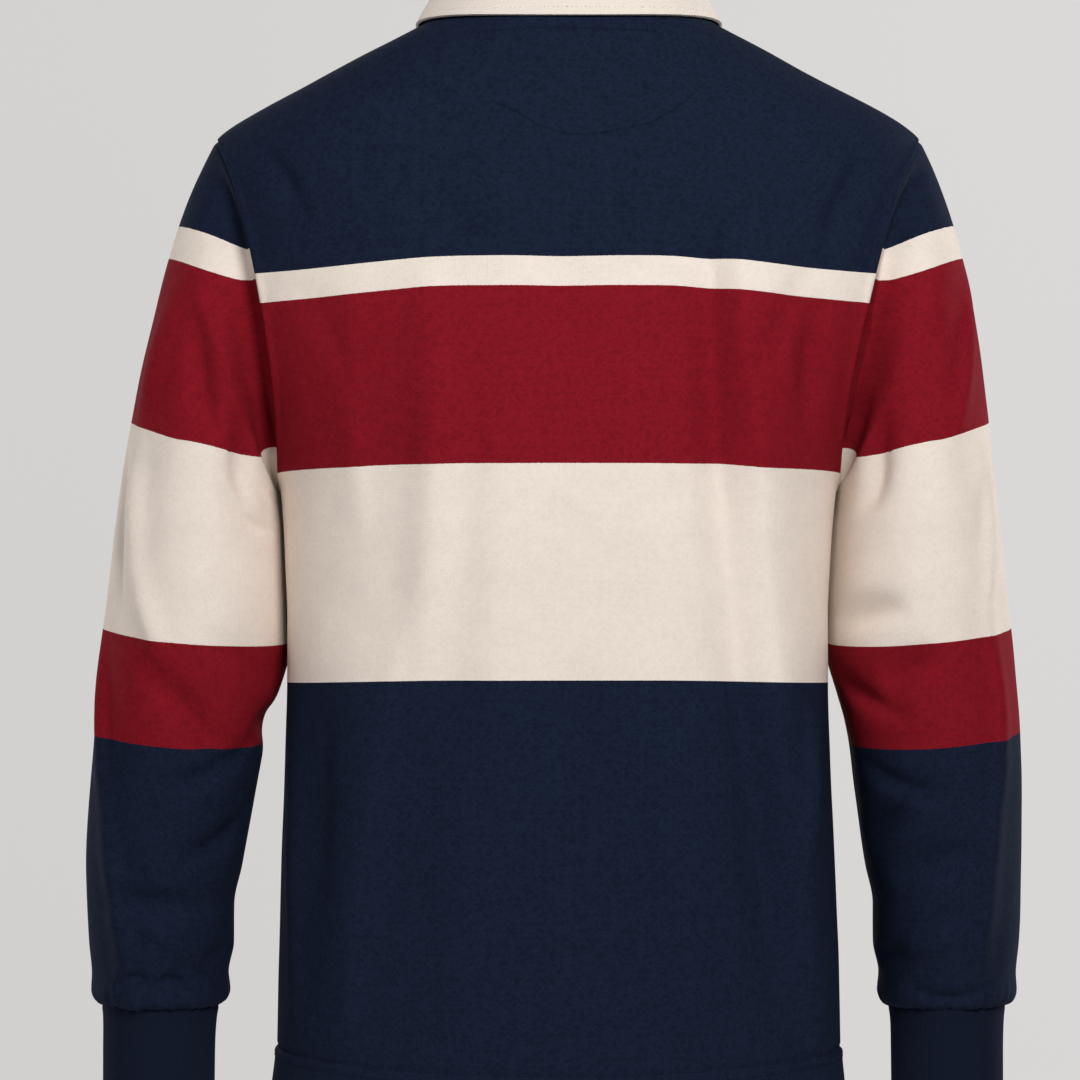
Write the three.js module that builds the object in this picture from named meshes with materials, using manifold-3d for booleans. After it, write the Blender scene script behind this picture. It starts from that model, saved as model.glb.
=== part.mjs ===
// A long-sleeved rugby shirt with wide colour bands, filled out as if worn, with nobody in it.
// Millimetres, +Z up, +Y towards the shirt's back, +X towards the wearer's left.
// The origin is the centre of the neck opening, a little below the shoulder seams' upper ends.
//
// Every cloth piece is a thin wall on a grid of points. The body is one oval column, and its front and
// back are cut from it at the side seams, the armholes and the shoulder seams. The sleeves start on the
// armholes' own points, the collar on the neck edge's, and the cuffs on the sleeves' last rings.
import * as THREE from "three";
import Module from "manifold-3d";

const wasm = await Module();
wasm.setup();

// Driving dimensions
const SEAM_GAP = 0.3;
const JERSEY = 1.6; // thickness of the heavy jersey of the body and sleeves
const HEM_CLOTH = 2.8; // the same jersey turned up double
const HEM_DEPTH = 25;
const TWILL = 2; // thickness of the collar's doubled twill
const RIB = 2; // thickness of the cuffs' rib

const HEM_Z = -694;
const UNDERARM_Z = -305;
const SHOULDER_Z = -74; // where the shoulder seam meets the armhole
const NECK_Z = 8; // where the shoulder seam meets the neck
const FRONT_NECK_DROP = 66;
const NECK_DROP_START_Z = -190; // rows of the front are level below this height
const BACK_TAIL = 10; // how much lower the hem is at the centre back than at the sides
const FRONT_TAIL = 3;
const TAIL_START_Z = -560;
const BOXY = 0.25; // how much squarer than an ellipse the body's section is

const PLACKET_HALF = 16;
const PLACKET_LENGTH = 168;
// The placket's two strips: half their width, how far their middles lie out from the front, their
// thickness, and how far below the neck edge they end.
const PLACKET_STRIPS = [
  { name: "placket_upper", half: PLACKET_HALF - SEAM_GAP, out: 0.5, thick: 1.8, belowNeck: 1.2 },
  { name: "placket_under", half: PLACKET_HALF - 2.5, out: -1.6, thick: 1.6, belowNeck: 1.6 },
];
const BUTTON_RADIUS = 6.5;
const BUTTON_THICK = 2.6;
const BUTTONS_BELOW_NECK = [15, 75, 135];

const NAVY = 0x18243c;
const CREAM = 0xe6dccf;
const HORN = 0xd8cfc0;

// The body's oval at each height: half its width at the widest, and its depth behind and before the
// side seams. Above the underarm the oval takes in the top of the arm, and the armhole cuts it.
const BODY_OVALS = [
  { z: 8, half: 85, back: 64, front: 20 },
  { z: 0, half: 98.5, back: 69.5, front: 36 },
  { z: -21, half: 138, back: 81, front: 54 },
  { z: -41, half: 175.5, back: 90, front: 66.5 },
  { z: -54, half: 200.5, back: 95, front: 73 },
  { z: -61, half: 213, back: 97.5, front: 76.5 },
  { z: -67, half: 222.5, back: 99.3, front: 79 },
  { z: -74, half: 231, back: 101.2, front: 82 },
  { z: -83, half: 237, back: 103.6, front: 85.5 },
  { z: -100, half: 241.5, back: 107, front: 92 },
  { z: -122, half: 243, back: 110.5, front: 99.5 },
  { z: -150, half: 240, back: 113, front: 107 },
  { z: -190, half: 228.5, back: 115, front: 115 },
  { z: -230, half: 211, back: 115, front: 119 },
  { z: -265, half: 195.5, back: 114, front: 120 },
  { z: -290, half: 186.3, back: 113, front: 119.3 },
  { z: -305, half: 182.6, back: 112, front: 118.5 },
  { z: -330, half: 180.2, back: 110.4, front: 116.8 },
  { z: -351, half: 179, back: 109, front: 115 },
  { z: -391, half: 177.3, back: 106, front: 112.5 },
  { z: -433, half: 177.3, back: 105, front: 111.5 },
  { z: -483, half: 178.5, back: 106, front: 112 },
  { z: -536, half: 180.3, back: 109, front: 113.5 },
  { z: -589, half: 181.7, back: 113, front: 115.5 },
  { z: -641, half: 182.6, back: 117, front: 117.5 },
  { z: -669, half: 183.3, back: 119, front: 118.5 },
  { z: -694, half: 186, back: 121.5, front: 120 },
];

// How far everything hangs towards the wearer's left at each height.
const HANG = [
  { z: 0, aside: 0 },
  { z: -60, aside: 0.3 },
  { z: -113, aside: 1.6 },
  { z: -180, aside: 3 },
  { z: -245, aside: 5.4 },
  { z: -312, aside: 7 },
  { z: -400, aside: 7.6 },
  { z: -720, aside: 7.6 },
];
// How much farther each forearm hangs to that side, and between which heights it begins to.
const SWING = { left: 3.2, right: 1.7 };
const SWING_FROM = -450;
const SWING_TO = -560;

// The armhole's edge on the back and on the front, as its distance from the shirt's middle.
const ARMHOLE_EDGE = [
  { z: -74, back: 231, front: 231 },
  { z: -85, back: 226.5, front: 225 },
  { z: -100, back: 220, front: 216.5 },
  { z: -120, back: 213, front: 207 },
  { z: -142, back: 206.5, front: 199 },
  { z: -169, back: 200, front: 191.5 },
  { z: -206, back: 192.5, front: 184.5 },
  { z: -245, back: 186, front: 180.5 },
  { z: -275, back: 183.3, front: 180.5 },
  { z: -305, back: 182.6, front: 182.6 },
];

// A sleeve's rings by the length down its outer fold: where each ring meets that fold and the underarm
// seam, half its depth front to back, where its middle lies front to back, and how much lower it is
// behind than before.
const SLEEVE_RINGS = [
  { length: 0, outX: 231, outZ: -74, inX: 182.6, inZ: -305, deep: 61, midY: 2, sag: 0 },
  { length: 33, outX: 245, outZ: -103, inX: 185.6, inZ: -306.5, deep: 62, midY: 2, sag: 0 },
  { length: 63, outX: 255.3, outZ: -131.5, inX: 185.6, inZ: -310.5, deep: 64, midY: 2, sag: 1 },
  { length: 100, outX: 265, outZ: -167, inX: 185, inZ: -316, deep: 66, midY: 2, sag: 2 },
  { length: 150, outX: 275, outZ: -216, inX: 184.2, inZ: -322, deep: 68.5, midY: 2, sag: 3 },
  { length: 194, outX: 281.5, outZ: -259.5, inX: 183.6, inZ: -328, deep: 70, midY: 2, sag: 3.5 },
  { length: 242, outX: 288, outZ: -307, inX: 183, inZ: -337, deep: 70.5, midY: 2, sag: 4.5 },
  { length: 285, outX: 293, outZ: -350, inX: 181.6, inZ: -366, deep: 70, midY: 2, sag: 6 },
  { length: 329, outX: 298, outZ: -394, inX: 180.8, inZ: -404.5, deep: 68, midY: 1, sag: 6.5 },
  { length: 362, outX: 301.3, outZ: -427, inX: 186, inZ: -437, deep: 65.5, midY: -1, sag: 6.5 },
  { length: 398, outX: 304.6, outZ: -462, inX: 193.2, inZ: -471, deep: 62, midY: -4, sag: 6.5 },
  { length: 432, outX: 306.6, outZ: -496, inX: 198.2, inZ: -502, deep: 58.5, midY: -8, sag: 6 },
  { length: 486, outX: 308.2, outZ: -549, inX: 206.5, inZ: -553, deep: 53.5, midY: -16, sag: 5 },
  { length: 512, outX: 308, outZ: -575.5, inX: 212, inZ: -578.5, deep: 51.5, midY: -20, sag: 4.5 },
  { length: 540, outX: 307.2, outZ: -603, inX: 212.5, inZ: -605, deep: 49.5, midY: -25, sag: 3.5 },
  { length: 561, outX: 305.8, outZ: -624, inX: 216.3, inZ: -625, deep: 47.5, midY: -28.5, sag: 2 },
  { length: 573, outX: 306.3, outZ: -636, inX: 215.5, inZ: -637, deep: 47.5, midY: -30, sag: 1.5 },
  { length: 580, outX: 303.8, outZ: -642.5, inX: 218.2, inZ: -643.5, deep: 45, midY: -30.5, sag: 1 },
  { length: 586, outX: 299, outZ: -645, inX: 223, inZ: -646, deep: 40.5, midY: -31, sag: 0.5 },
];
const CAP_LENGTH = 242; // below this length the sleeve's rings no longer follow the armhole's shape

const CUFF_RINGS = [
  { length: 0, outX: 299, outZ: -645, inX: 223, inZ: -646, deep: 40.5, midY: -31, sag: 0.5 },
  { length: 8, outX: 298, outZ: -653.5, inX: 224.6, inZ: -654.5, deep: 38, midY: -31.5, sag: 0.5 },
  { length: 20, outX: 297.7, outZ: -666, inX: 225.4, inZ: -667, deep: 36.7, midY: -32.5, sag: 0.5 },
  { length: 66, outX: 298, outZ: -712, inX: 226.2, inZ: -713, deep: 36.2, midY: -36, sag: 0.5 },
];

// The largest folds, each a soft ridge (height above 0) or trough (below 0) along a line. On the body
// the line's ends are across and up, as seen from behind or before. On a sleeve they are the turn round
// it in degrees (0 outer fold, 90 back, 180 underarm, 270 front) and the length down it.
const FOLDS = {
  back: [
    { x0: 150, z0: -204, x1: 155, z1: -383, height: -2.2, width: 13 },
    { x0: 93, z0: -216, x1: 102, z1: -420, height: -2.8, width: 17 },
    { x0: 104, z0: -425, x1: 132, z1: -620, height: -2.6, width: 17 },
    { x0: -73, z0: -280, x1: -100, z1: -540, height: -2.6, width: 19 },
    { x0: -107, z0: -200, x1: -128, z1: -440, height: 2.6, width: 16 },
    { x0: -126, z0: -420, x1: -152, z1: -650, height: 3.4, width: 13 },
  ],
  front: [
    { x0: 120, z0: -190, x1: 146, z1: -430, height: -3, width: 18 },
    { x0: 70, z0: -330, x1: 96, z1: -610, height: -2.6, width: 20 },
    { x0: -96, z0: -220, x1: -84, z1: -470, height: -2.8, width: 18 },
    { x0: -132, z0: -300, x1: -150, z1: -600, height: 3, width: 15 },
  ],
  left: [
    { turn0: 42, at0: 90, turn1: 36, at1: 196, height: 2.2, width: 13 },
    { turn0: 70, at0: 108, turn1: 100, at1: 176, height: -3, width: 14 },
    { turn0: 44, at0: 210, turn1: 72, at1: 330, height: 2.2, width: 14 },
    { turn0: 68, at0: 352, turn1: 122, at1: 404, height: -3.4, width: 13 },
    { turn0: 34, at0: 400, turn1: 68, at1: 566, height: 2.6, width: 12 },
    { turn0: 52, at0: 508, turn1: 132, at1: 512, height: -3, width: 11 },
    { turn0: 150, at0: 380, turn1: 200, at1: 388, height: -4.5, width: 12 },
    { turn0: 248, at0: 330, turn1: 300, at1: 392, height: -3, width: 14 },
    { turn0: 250, at0: 120, turn1: 285, at1: 210, height: -2.6, width: 15 },
  ],
  right: [
    { turn0: 40, at0: 110, turn1: 34, at1: 200, height: 2.2, width: 13 },
    { turn0: 108, at0: 304, turn1: 150, at1: 318, height: -3.2, width: 13 },
    { turn0: 86, at0: 338, turn1: 122, at1: 362, height: -3.2, width: 13 },
    { turn0: 32, at0: 396, turn1: 36, at1: 560, height: 2.6, width: 12 },
    { turn0: 70, at0: 470, turn1: 128, at1: 492, height: -2.4, width: 13 },
    { turn0: 246, at0: 340, turn1: 304, at1: 380, height: -3, width: 14 },
    { turn0: 258, at0: 130, turn1: 276, at1: 220, height: -2.6, width: 15 },
  ],
};

// Grid sizes
const SKIRT_ROWS = 15; // hem to underarm
const ARMHOLE_ROWS = 12;
const SHOULDER_ROWS = 7;
const HALF_COLUMNS = 10; // from the middle of a body panel to its edge
const SLEEVE_STEPS = 21;
const CAP_STEPS = 9; // of these, how many belong to the sleeve's cap, above the plain tube
const NORMAL_STEP = 0.5;
const MITRE_LIMIT = 0.62; // how far a shared direction may be lengthened where pieces meet at an angle

// A named column's value between the rows of a table, through them without overshoot.
function column(rows, key, name, at) {
  const first = rows[0][key];
  const last = rows[rows.length - 1][key];
  const rising = last > first;
  const clamped = rising ? Math.min(Math.max(at, first), last) : Math.max(Math.min(at, first), last);
  let i = 0;
  while (i < rows.length - 2 && (rising ? clamped > rows[i + 1][key] : clamped < rows[i + 1][key])) i += 1;
  const slope = (k) => (rows[k + 1][name] - rows[k][name]) / (rows[k + 1][key] - rows[k][key]);
  const tangent = (k) => {
    if (k === 0) return slope(0);
    if (k === rows.length - 1) return slope(k - 1);
    const before = slope(k - 1);
    const after = slope(k);
    return before * after <= 0 ? 0 : (2 * before * after) / (before + after);
  };
  const span = rows[i + 1][key] - rows[i][key];
  const t = (clamped - rows[i][key]) / span;
  return (
    rows[i][name] * (1 + 2 * t) * (1 - t) ** 2 +
    tangent(i) * span * t * (1 - t) ** 2 +
    rows[i + 1][name] * t * t * (3 - 2 * t) +
    tangent(i + 1) * span * t * t * (t - 1)
  );
}

const ease = (low, high, value) => THREE.MathUtils.smoothstep(value, low, high);

function lean(z) {
  return column(HANG, "z", "aside", z);
}

// How high a fold stands at a point, given the point and the fold's line in the same flat measure.
function foldHeight(across, along, fold) {
  const run = new THREE.Vector2(fold.across1 - fold.across0, fold.along1 - fold.along0);
  const from = new THREE.Vector2(across - fold.across0, along - fold.along0);
  const share = from.dot(run) / run.lengthSq();
  const away = Math.abs(from.cross(run)) / run.length();
  if (share <= -0.15 || share >= 1.15) return 0;
  const fade = Math.cos(((share - 0.5) / 1.3) * Math.PI) ** 2;
  return fold.height * fade ** 0.6 * Math.exp(-((away / fold.width) ** 2));
}

// The body

// side is 1 for the back and -1 for the front.
function bodySurface(side, x, z) {
  const across = x / column(BODY_OVALS, "z", "half", z);
  const deep = column(BODY_OVALS, "z", side > 0 ? "back" : "front", z);
  const rise = Math.sqrt(Math.max(0, 1 - across * across)) * (1 + BOXY * across * across);
  return new THREE.Vector3(x, side * deep * rise, z);
}

function panelEdge(side, level) {
  const half = column(BODY_OVALS, "z", "half", level);
  if (level >= SHOULDER_Z || level <= UNDERARM_Z) return half;
  return Math.min(half, column(ARMHOLE_EDGE, "z", side > 0 ? "back" : "front", level));
}

// A row of a panel is named by its height at the panel's edge. It dips towards the middle at the front
// neck and at the hem.
function rowHeight(side, level, across) {
  const inward = 1 - across * across;
  const neck = side < 0 ? FRONT_NECK_DROP * ease(NECK_DROP_START_Z, NECK_Z, level) : 0;
  const tail = (side > 0 ? BACK_TAIL : FRONT_TAIL) * (1 - ease(HEM_Z, TAIL_START_Z, level));
  return level - (neck + tail) * inward;
}

// share runs from -1 at one edge of the panel to 1 at the other, evenly round the oval.
function panelPoint(side, share, level) {
  const edge = panelEdge(side, level);
  const turn = Math.asin(Math.min(1, edge / column(BODY_OVALS, "z", "half", level)));
  const x = (edge * Math.sin(share * turn)) / Math.sin(turn);
  const point = bodySurface(side, x, rowHeight(side, level, x / edge));
  const normal = surfaceNormal(side, point);
  for (const fold of FOLDS[side > 0 ? "back" : "front"]) {
    const line = { ...fold, across0: fold.x0, across1: fold.x1, along0: fold.z0, along1: fold.z1 };
    point.addScaledVector(normal, foldHeight(x, point.z, line) * (1 - Math.abs(share) ** 12));
  }
  point.x += lean(point.z);
  return point;
}

// The outward direction of the body's surface, from the slopes of its section and of its ovals.
function surfaceNormal(side, point) {
  const deepName = side > 0 ? "back" : "front";
  const slope = (name) =>
    (column(BODY_OVALS, "z", name, point.z + NORMAL_STEP) -
      column(BODY_OVALS, "z", name, point.z - NORMAL_STEP)) / (2 * NORMAL_STEP);
  const half = column(BODY_OVALS, "z", "half", point.z);
  const deep = column(BODY_OVALS, "z", deepName, point.z);
  const across = Math.max(-1, Math.min(1, point.x / half));
  const left = 1 - across * across;
  const fall = across * (1 + BOXY * across * across) - 2 * BOXY * across * left;
  return new THREE.Vector3(
    (deep * fall) / half,
    side * Math.sqrt(left),
    -slope(deepName) * left * (1 + BOXY * across * across) - (deep * fall * across * slope("half")) / half,
  ).normalize();
}

// The share at which a front row passes the placket's edge, or a point just beside it.
function shareAt(side, x, level) {
  const edge = panelEdge(side, level);
  const turn = Math.asin(Math.min(1, edge / column(BODY_OVALS, "z", "half", level)));
  return Math.asin((x * Math.sin(turn)) / edge) / turn;
}

// The level of the front's row that passes the centre front at a height.
function frontLevelAt(height) {
  let low = HEM_Z;
  let high = NECK_Z;
  for (let k = 0; k < 40; k += 1) {
    const middle = (low + high) / 2;
    if (rowHeight(-1, middle, 0) < height) low = middle;
    else high = middle;
  }
  return low;
}

const PLACKET_FOOT = frontLevelAt(NECK_Z - FRONT_NECK_DROP - PLACKET_LENGTH);

// The panels' rows from the hem to the neck. One of them passes the foot of the placket.
function levels() {
  const list = [HEM_Z, HEM_Z + HEM_DEPTH - 1, HEM_Z + HEM_DEPTH + 1];
  const start = HEM_Z + HEM_DEPTH + 1;
  for (let i = 1; i <= SKIRT_ROWS; i += 1) list.push(start + ((UNDERARM_Z - start) * i) / SKIRT_ROWS);
  const middle = (UNDERARM_Z + SHOULDER_Z) / 2;
  const reach = (SHOULDER_Z - UNDERARM_Z) / 2;
  for (let i = 1; i <= ARMHOLE_ROWS; i += 1) {
    list.push(middle - reach * Math.cos((Math.PI * i) / ARMHOLE_ROWS));
  }
  for (let i = 1; i <= SHOULDER_ROWS; i += 1) {
    list.push(SHOULDER_Z + ((NECK_Z - SHOULDER_Z) * i) / SHOULDER_ROWS);
  }
  const nearest = list.reduce((best, level) =>
    Math.abs(level - PLACKET_FOOT) < Math.abs(best - PLACKET_FOOT) ? level : best,
  );
  list[list.indexOf(nearest)] = PLACKET_FOOT;
  return list;
}

const LEVELS = levels();
const UNDERARM_ROW = SKIRT_ROWS + 2;
const SHOULDER_ROW = UNDERARM_ROW + ARMHOLE_ROWS;
const NECK_ROW = LEVELS.length - 1;
const FOOT_ROW = LEVELS.indexOf(PLACKET_FOOT);

// The shares of a row's points. The edges stop half a seam gap short of the side or shoulder seam. The
// front has a column on each edge of the placket.
function rowShares(side, level) {
  const depth = column(BODY_OVALS, "z", side > 0 ? "back" : "front", level);
  const free = level > UNDERARM_Z && level < SHOULDER_Z;
  const end = free ? 1 : 1 - SEAM_GAP / 2 / (depth * 1.25 * (Math.PI / 2));
  const inner = side < 0 ? shareAt(side, PLACKET_HALF, level) : 0;
  const half = [];
  for (let j = 1; j <= HALF_COLUMNS; j += 1)
    half.push(side < 0 ? inner + ((end - inner) * (j - 1)) / (HALF_COLUMNS - 1) : (end * j) / HALF_COLUMNS);
  return [...half.map((s) => -s).reverse(), 0, ...half];
}

function panelGrid(side) {
  return LEVELS.map((level) => rowShares(side, level).map((share) => panelPoint(side, share, level)));
}

// Grids of points and their normals

// Normals from neighbouring points. flip turns them to the piece's outer face.
function gridNormals(grid, wrap, flip) {
  const last = grid[0].length - 1;
  return grid.map((row, i) =>
    row.map((_, j) => {
      const up = grid[Math.min(i + 1, grid.length - 1)][j].clone().sub(grid[Math.max(i - 1, 0)][j]);
      const before = wrap ? row[(j + last) % (last + 1)] : row[Math.max(j - 1, 0)];
      const after = wrap ? row[(j + 1) % (last + 1)] : row[Math.min(j + 1, last)];
      return after.clone().sub(before).cross(up).normalize().multiplyScalar(flip);
    }),
  );
}

// A closed wall on a grid: its outer face out from the points along the normals, its inner face in.
// wrap joins the last column to the first. keep says which cells are cloth.
function wall({ grid, normals, out, inn, wrap = false, keep = () => true, flip = 1 }) {
  const rows = grid.length;
  const columns = grid[0].length;
  const positions = [];
  for (const [sign, reach] of [[1, out], [-1, inn]])
    for (let i = 0; i < rows; i += 1)
      for (let j = 0; j < columns; j += 1) {
        const far = typeof reach === "function" ? reach(i, j) : reach;
        positions.push(...grid[i][j].clone().addScaledVector(normals[i][j], sign * far).toArray());
      }
  const at = (i, j, inside) => inside * rows * columns + i * columns + ((j + columns) % columns);
  const faces = [];
  const quad = (a, b, c, d) => faces.push(...(flip > 0 ? [a, b, c, a, c, d] : [a, c, b, a, d, c]));
  const across = wrap ? columns : columns - 1;
  const kept = (i, j) => {
    if (i < 0 || i >= rows - 1 || (!wrap && (j < 0 || j >= across))) return false;
    return keep(i, (j + across) % across);
  };
  for (let i = 0; i < rows - 1; i += 1)
    for (let j = 0; j < across; j += 1) {
      if (!kept(i, j)) continue;
      quad(at(i, j, 0), at(i, j + 1, 0), at(i + 1, j + 1, 0), at(i + 1, j, 0));
      quad(at(i, j, 1), at(i + 1, j, 1), at(i + 1, j + 1, 1), at(i, j + 1, 1));
      if (!kept(i - 1, j)) quad(at(i, j, 1), at(i, j + 1, 1), at(i, j + 1, 0), at(i, j, 0));
      if (!kept(i + 1, j)) quad(at(i + 1, j, 0), at(i + 1, j + 1, 0), at(i + 1, j + 1, 1), at(i + 1, j, 1));
      if (!kept(i, j - 1)) quad(at(i, j, 0), at(i + 1, j, 0), at(i + 1, j, 1), at(i, j, 1));
      if (!kept(i, j + 1)) quad(at(i, j + 1, 1), at(i + 1, j + 1, 1), at(i + 1, j + 1, 0), at(i, j + 1, 0));
    }
  const geometry = new THREE.BufferGeometry();
  geometry.setAttribute("position", new THREE.Float32BufferAttribute(positions, 3));
  geometry.setIndex(faces);
  return geometry;
}

// Two walls that meet edge to edge share a direction along the seam, long enough that both keep their
// thickness where they meet at an angle.
function sharedNormal(one, other) {
  const shared = one.clone().add(other).normalize();
  return shared.multiplyScalar(1 / Math.max(MITRE_LIMIT, shared.dot(one.clone().normalize())));
}

// The seam's points on the second piece: a gap away from the first, square to the seam and its normal,
// on the side of the hint.
function acrossSeam(points, normals, hints, closed) {
  const last = points.length - 1;
  return points.map((point, k) => {
    const before = closed ? points[(k + last) % (last + 1)] : points[Math.max(k - 1, 0)];
    const after = closed ? points[(k + 1) % (last + 1)] : points[Math.min(k + 1, last)];
    const away = after.clone().sub(before).cross(normals[k]).normalize();
    if (away.dot(hints[k].clone().sub(point)) < 0) away.negate();
    return point.clone().addScaledVector(away, SEAM_GAP);
  });
}

const mirrored = (point) => new THREE.Vector3(-point.x, point.y, point.z);

// The sleeves

function oval(rings, length, turn) {
  const value = (name) => column(rings, "length", name, length);
  const outer = new THREE.Vector3(value("outX"), 0, value("outZ"));
  const inner = new THREE.Vector3(value("inX"), 0, value("inZ"));
  const centre = outer.clone().add(inner).multiplyScalar(0.5);
  const reach = outer.sub(inner).multiplyScalar(0.5);
  const depth = new THREE.Vector3(0, value("deep"), -value("sag"));
  centre.y = value("midY");
  return centre.addScaledVector(reach, Math.cos(turn)).addScaledVector(depth, Math.sin(turn));
}

// The armhole's loop on the wearer's left, from the shoulder down the back, under the arm and up the
// front. It reads the body's own edge points, before the body hangs to one side.
function armholeLoop() {
  const edge = (side, row) => {
    const point = panelPoint(side, 1, LEVELS[row]);
    point.x -= lean(point.z);
    return point;
  };
  const loop = [];
  for (let row = SHOULDER_ROW; row >= UNDERARM_ROW; row -= 1) loop.push(edge(1, row));
  for (let row = UNDERARM_ROW + 1; row < SHOULDER_ROW; row += 1) loop.push(edge(-1, row));
  return loop;
}

function sleeveLengths() {
  const lengths = [];
  const end = SLEEVE_RINGS[SLEEVE_RINGS.length - 4].length;
  for (let k = 0; k <= SLEEVE_STEPS; k += 1) lengths.push((end * k) / SLEEVE_STEPS);
  return [...lengths, ...SLEEVE_RINGS.slice(-3).map((ring) => ring.length)];
}

// side is 1 for the wearer's left sleeve and -1 for the right.
function sleeveGrid(side) {
  const loop = armholeLoop();
  const count = loop.length;
  const turns = loop.map((_, j) => (2 * Math.PI * j) / count);
  const girth = (length) => column(SLEEVE_RINGS, "length", "deep", length);
  const base = sleeveLengths().map((length) =>
    turns.map((turn, j) => {
      const point = oval(SLEEVE_RINGS, length, turn);
      const left = Math.max(0, 1 - length / CAP_LENGTH) ** 2;
      return point.addScaledVector(loop[j].clone().sub(oval(SLEEVE_RINGS, 0, turn)), left);
    }),
  );
  const normals = gridNormals(base, true, -1);
  const lengths = sleeveLengths();
  return base.map((row, k) =>
    row.map((point, j) => {
      const moved = point.clone();
      for (const fold of FOLDS[side > 0 ? "left" : "right"]) {
        const perDegree = (Math.PI / 180) * girth(lengths[k]);
        const line = {
          ...fold,
          across0: fold.turn0 * perDegree,
          across1: fold.turn1 * perDegree,
          along0: fold.at0,
          along1: fold.at1,
        };
        const height = foldHeight(THREE.MathUtils.radToDeg(turns[j]) * perDegree, lengths[k], line);
        moved.addScaledVector(normals[k][j], height * ease(0, 40, lengths[k]));
      }
      return moved;
    }),
  );
}

function cuffGrid(count) {
  const turns = Array.from({ length: count }, (_, j) => (2 * Math.PI * j) / count);
  return CUFF_RINGS.map((ring) => turns.map((turn) => oval(CUFF_RINGS, ring.length, turn)));
}

// The collar

// Points of the collar by the share from the centre back (0) round one side (0.5) to the centre front
// (1): where it folds over, and its outer edge.
const COLLAR_FOLD = { sideX: 75.5, backY: 59, frontY: 71, sideZ: 39, backZ: 44, frontZ: -38 };
const COLLAR_EDGE = { sideZ: -0.3, backZ: -3.4, pointX: 42, pointZ: -92, clear: 3.2, pointClear: 5.5 };
const COLLAR_BULGE = 1.5;
const COLLAR_END = 2; // half the gap between the collar's ends at the centre front
const FOLD_RADIUS = 1.9;
const STAND_STEPS = 2;
const FALL_STEPS = 4;

function collarFold(share) {
  const turn = share * Math.PI;
  const x = COLLAR_END + (COLLAR_FOLD.sideX - COLLAR_END) * Math.sin(turn);
  if (share <= 0.5) {
    const rise = COLLAR_FOLD.sideZ + (COLLAR_FOLD.backZ - COLLAR_FOLD.sideZ) * Math.cos(turn) ** 2;
    return new THREE.Vector3(COLLAR_FOLD.sideX * Math.sin(turn), COLLAR_FOLD.backY * Math.cos(turn), rise);
  }
  const front = (share - 0.5) * 2;
  const z = COLLAR_FOLD.sideZ + (COLLAR_FOLD.frontZ - COLLAR_FOLD.sideZ) * front ** 1.35;
  return new THREE.Vector3(x, COLLAR_FOLD.frontY * Math.cos(turn), z);
}

// The edge lies on the body, a set distance off it.
function collarEdge(share) {
  const turn = share * Math.PI;
  const front = Math.max(0, share - 0.5) * 2;
  const behind = Math.max(0, Math.cos(turn)) ** 2;
  const downFront = COLLAR_EDGE.sideZ + (COLLAR_EDGE.pointZ - COLLAR_EDGE.sideZ) * front;
  const z = front > 0 ? downFront : COLLAR_EDGE.sideZ + (COLLAR_EDGE.backZ - COLLAR_EDGE.sideZ) * behind;
  const widest = column(BODY_OVALS, "z", "half", COLLAR_EDGE.sideZ);
  const x =
    front > 0
      ? widest + (COLLAR_EDGE.pointX - widest) * front ** 1.7
      : column(BODY_OVALS, "z", "half", z) * Math.sin(turn);
  const side = share <= 0.5 ? 1 : -1;
  const point = bodySurface(side, x, z);
  const clear = COLLAR_EDGE.clear + (COLLAR_EDGE.pointClear - COLLAR_EDGE.clear) * front;
  return point.addScaledVector(surfaceNormal(side, point), clear);
}

// seam is the neck edge's points from the centre front on the wearer's right, round the back, to the
// centre front on the left.
function collarGrid(seam) {
  const columns = seam.map((point) => {
    const side = Math.sign(point.x) || 1;
    const across = Math.min(1, Math.abs(point.x) / BODY_OVALS[0].half);
    const quarter = Math.asin(across) / Math.PI;
    const share = point.y > 0 ? quarter : 1 - quarter;
    const fold = collarFold(share);
    const edge = collarEdge(share);
    fold.x *= side;
    edge.x *= side;
    const outward = new THREE.Vector3(edge.x - fold.x, edge.y - fold.y, 0).normalize();
    const column = [];
    for (let k = 0; k <= STAND_STEPS; k += 1) {
      const near = fold.clone().addScaledVector(outward, -FOLD_RADIUS).setZ(fold.z - FOLD_RADIUS);
      column.push(point.clone().lerp(near, k / (STAND_STEPS + 0.25)));
    }
    column.push(fold.clone().addScaledVector(outward, -FOLD_RADIUS).setZ(fold.z - FOLD_RADIUS));
    column.push(fold.clone());
    const start = fold.clone().addScaledVector(outward, FOLD_RADIUS).setZ(fold.z - FOLD_RADIUS);
    for (let k = 0; k <= FALL_STEPS; k += 1) {
      const t = k / FALL_STEPS;
      const place = start.clone().lerp(edge, t);
      column.push(place.addScaledVector(outward, COLLAR_BULGE * Math.sin(Math.PI * t)));
    }
    return column;
  });
  return columns[0].map((_, i) => columns.map((column) => column[i]));
}

// The buttons and the placket

function button() {
  const rim = BUTTON_RADIUS;
  const profile = [
    [0, 0],
    [rim - 1.2, 0],
    [rim, 0.9],
    [rim, BUTTON_THICK - 0.6],
    [rim - 0.7, BUTTON_THICK],
    [rim - 1.8, BUTTON_THICK - 0.2],
    [rim - 2.4, BUTTON_THICK - 0.9],
    [0, BUTTON_THICK - 1],
  ].map(([x, y]) => new THREE.Vector2(x, y));
  let body = solid(new THREE.LatheGeometry(profile, 24));
  for (const [x, z] of [[1.3, 1.3], [1.3, -1.3], [-1.3, 1.3], [-1.3, -1.3]]) {
    const hole = new THREE.CylinderGeometry(0.8, 0.8, BUTTON_THICK * 4, 8).translate(x, 0, z);
    body = body.subtract(solid(hole));
  }
  return geometryOf(body);
}

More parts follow.
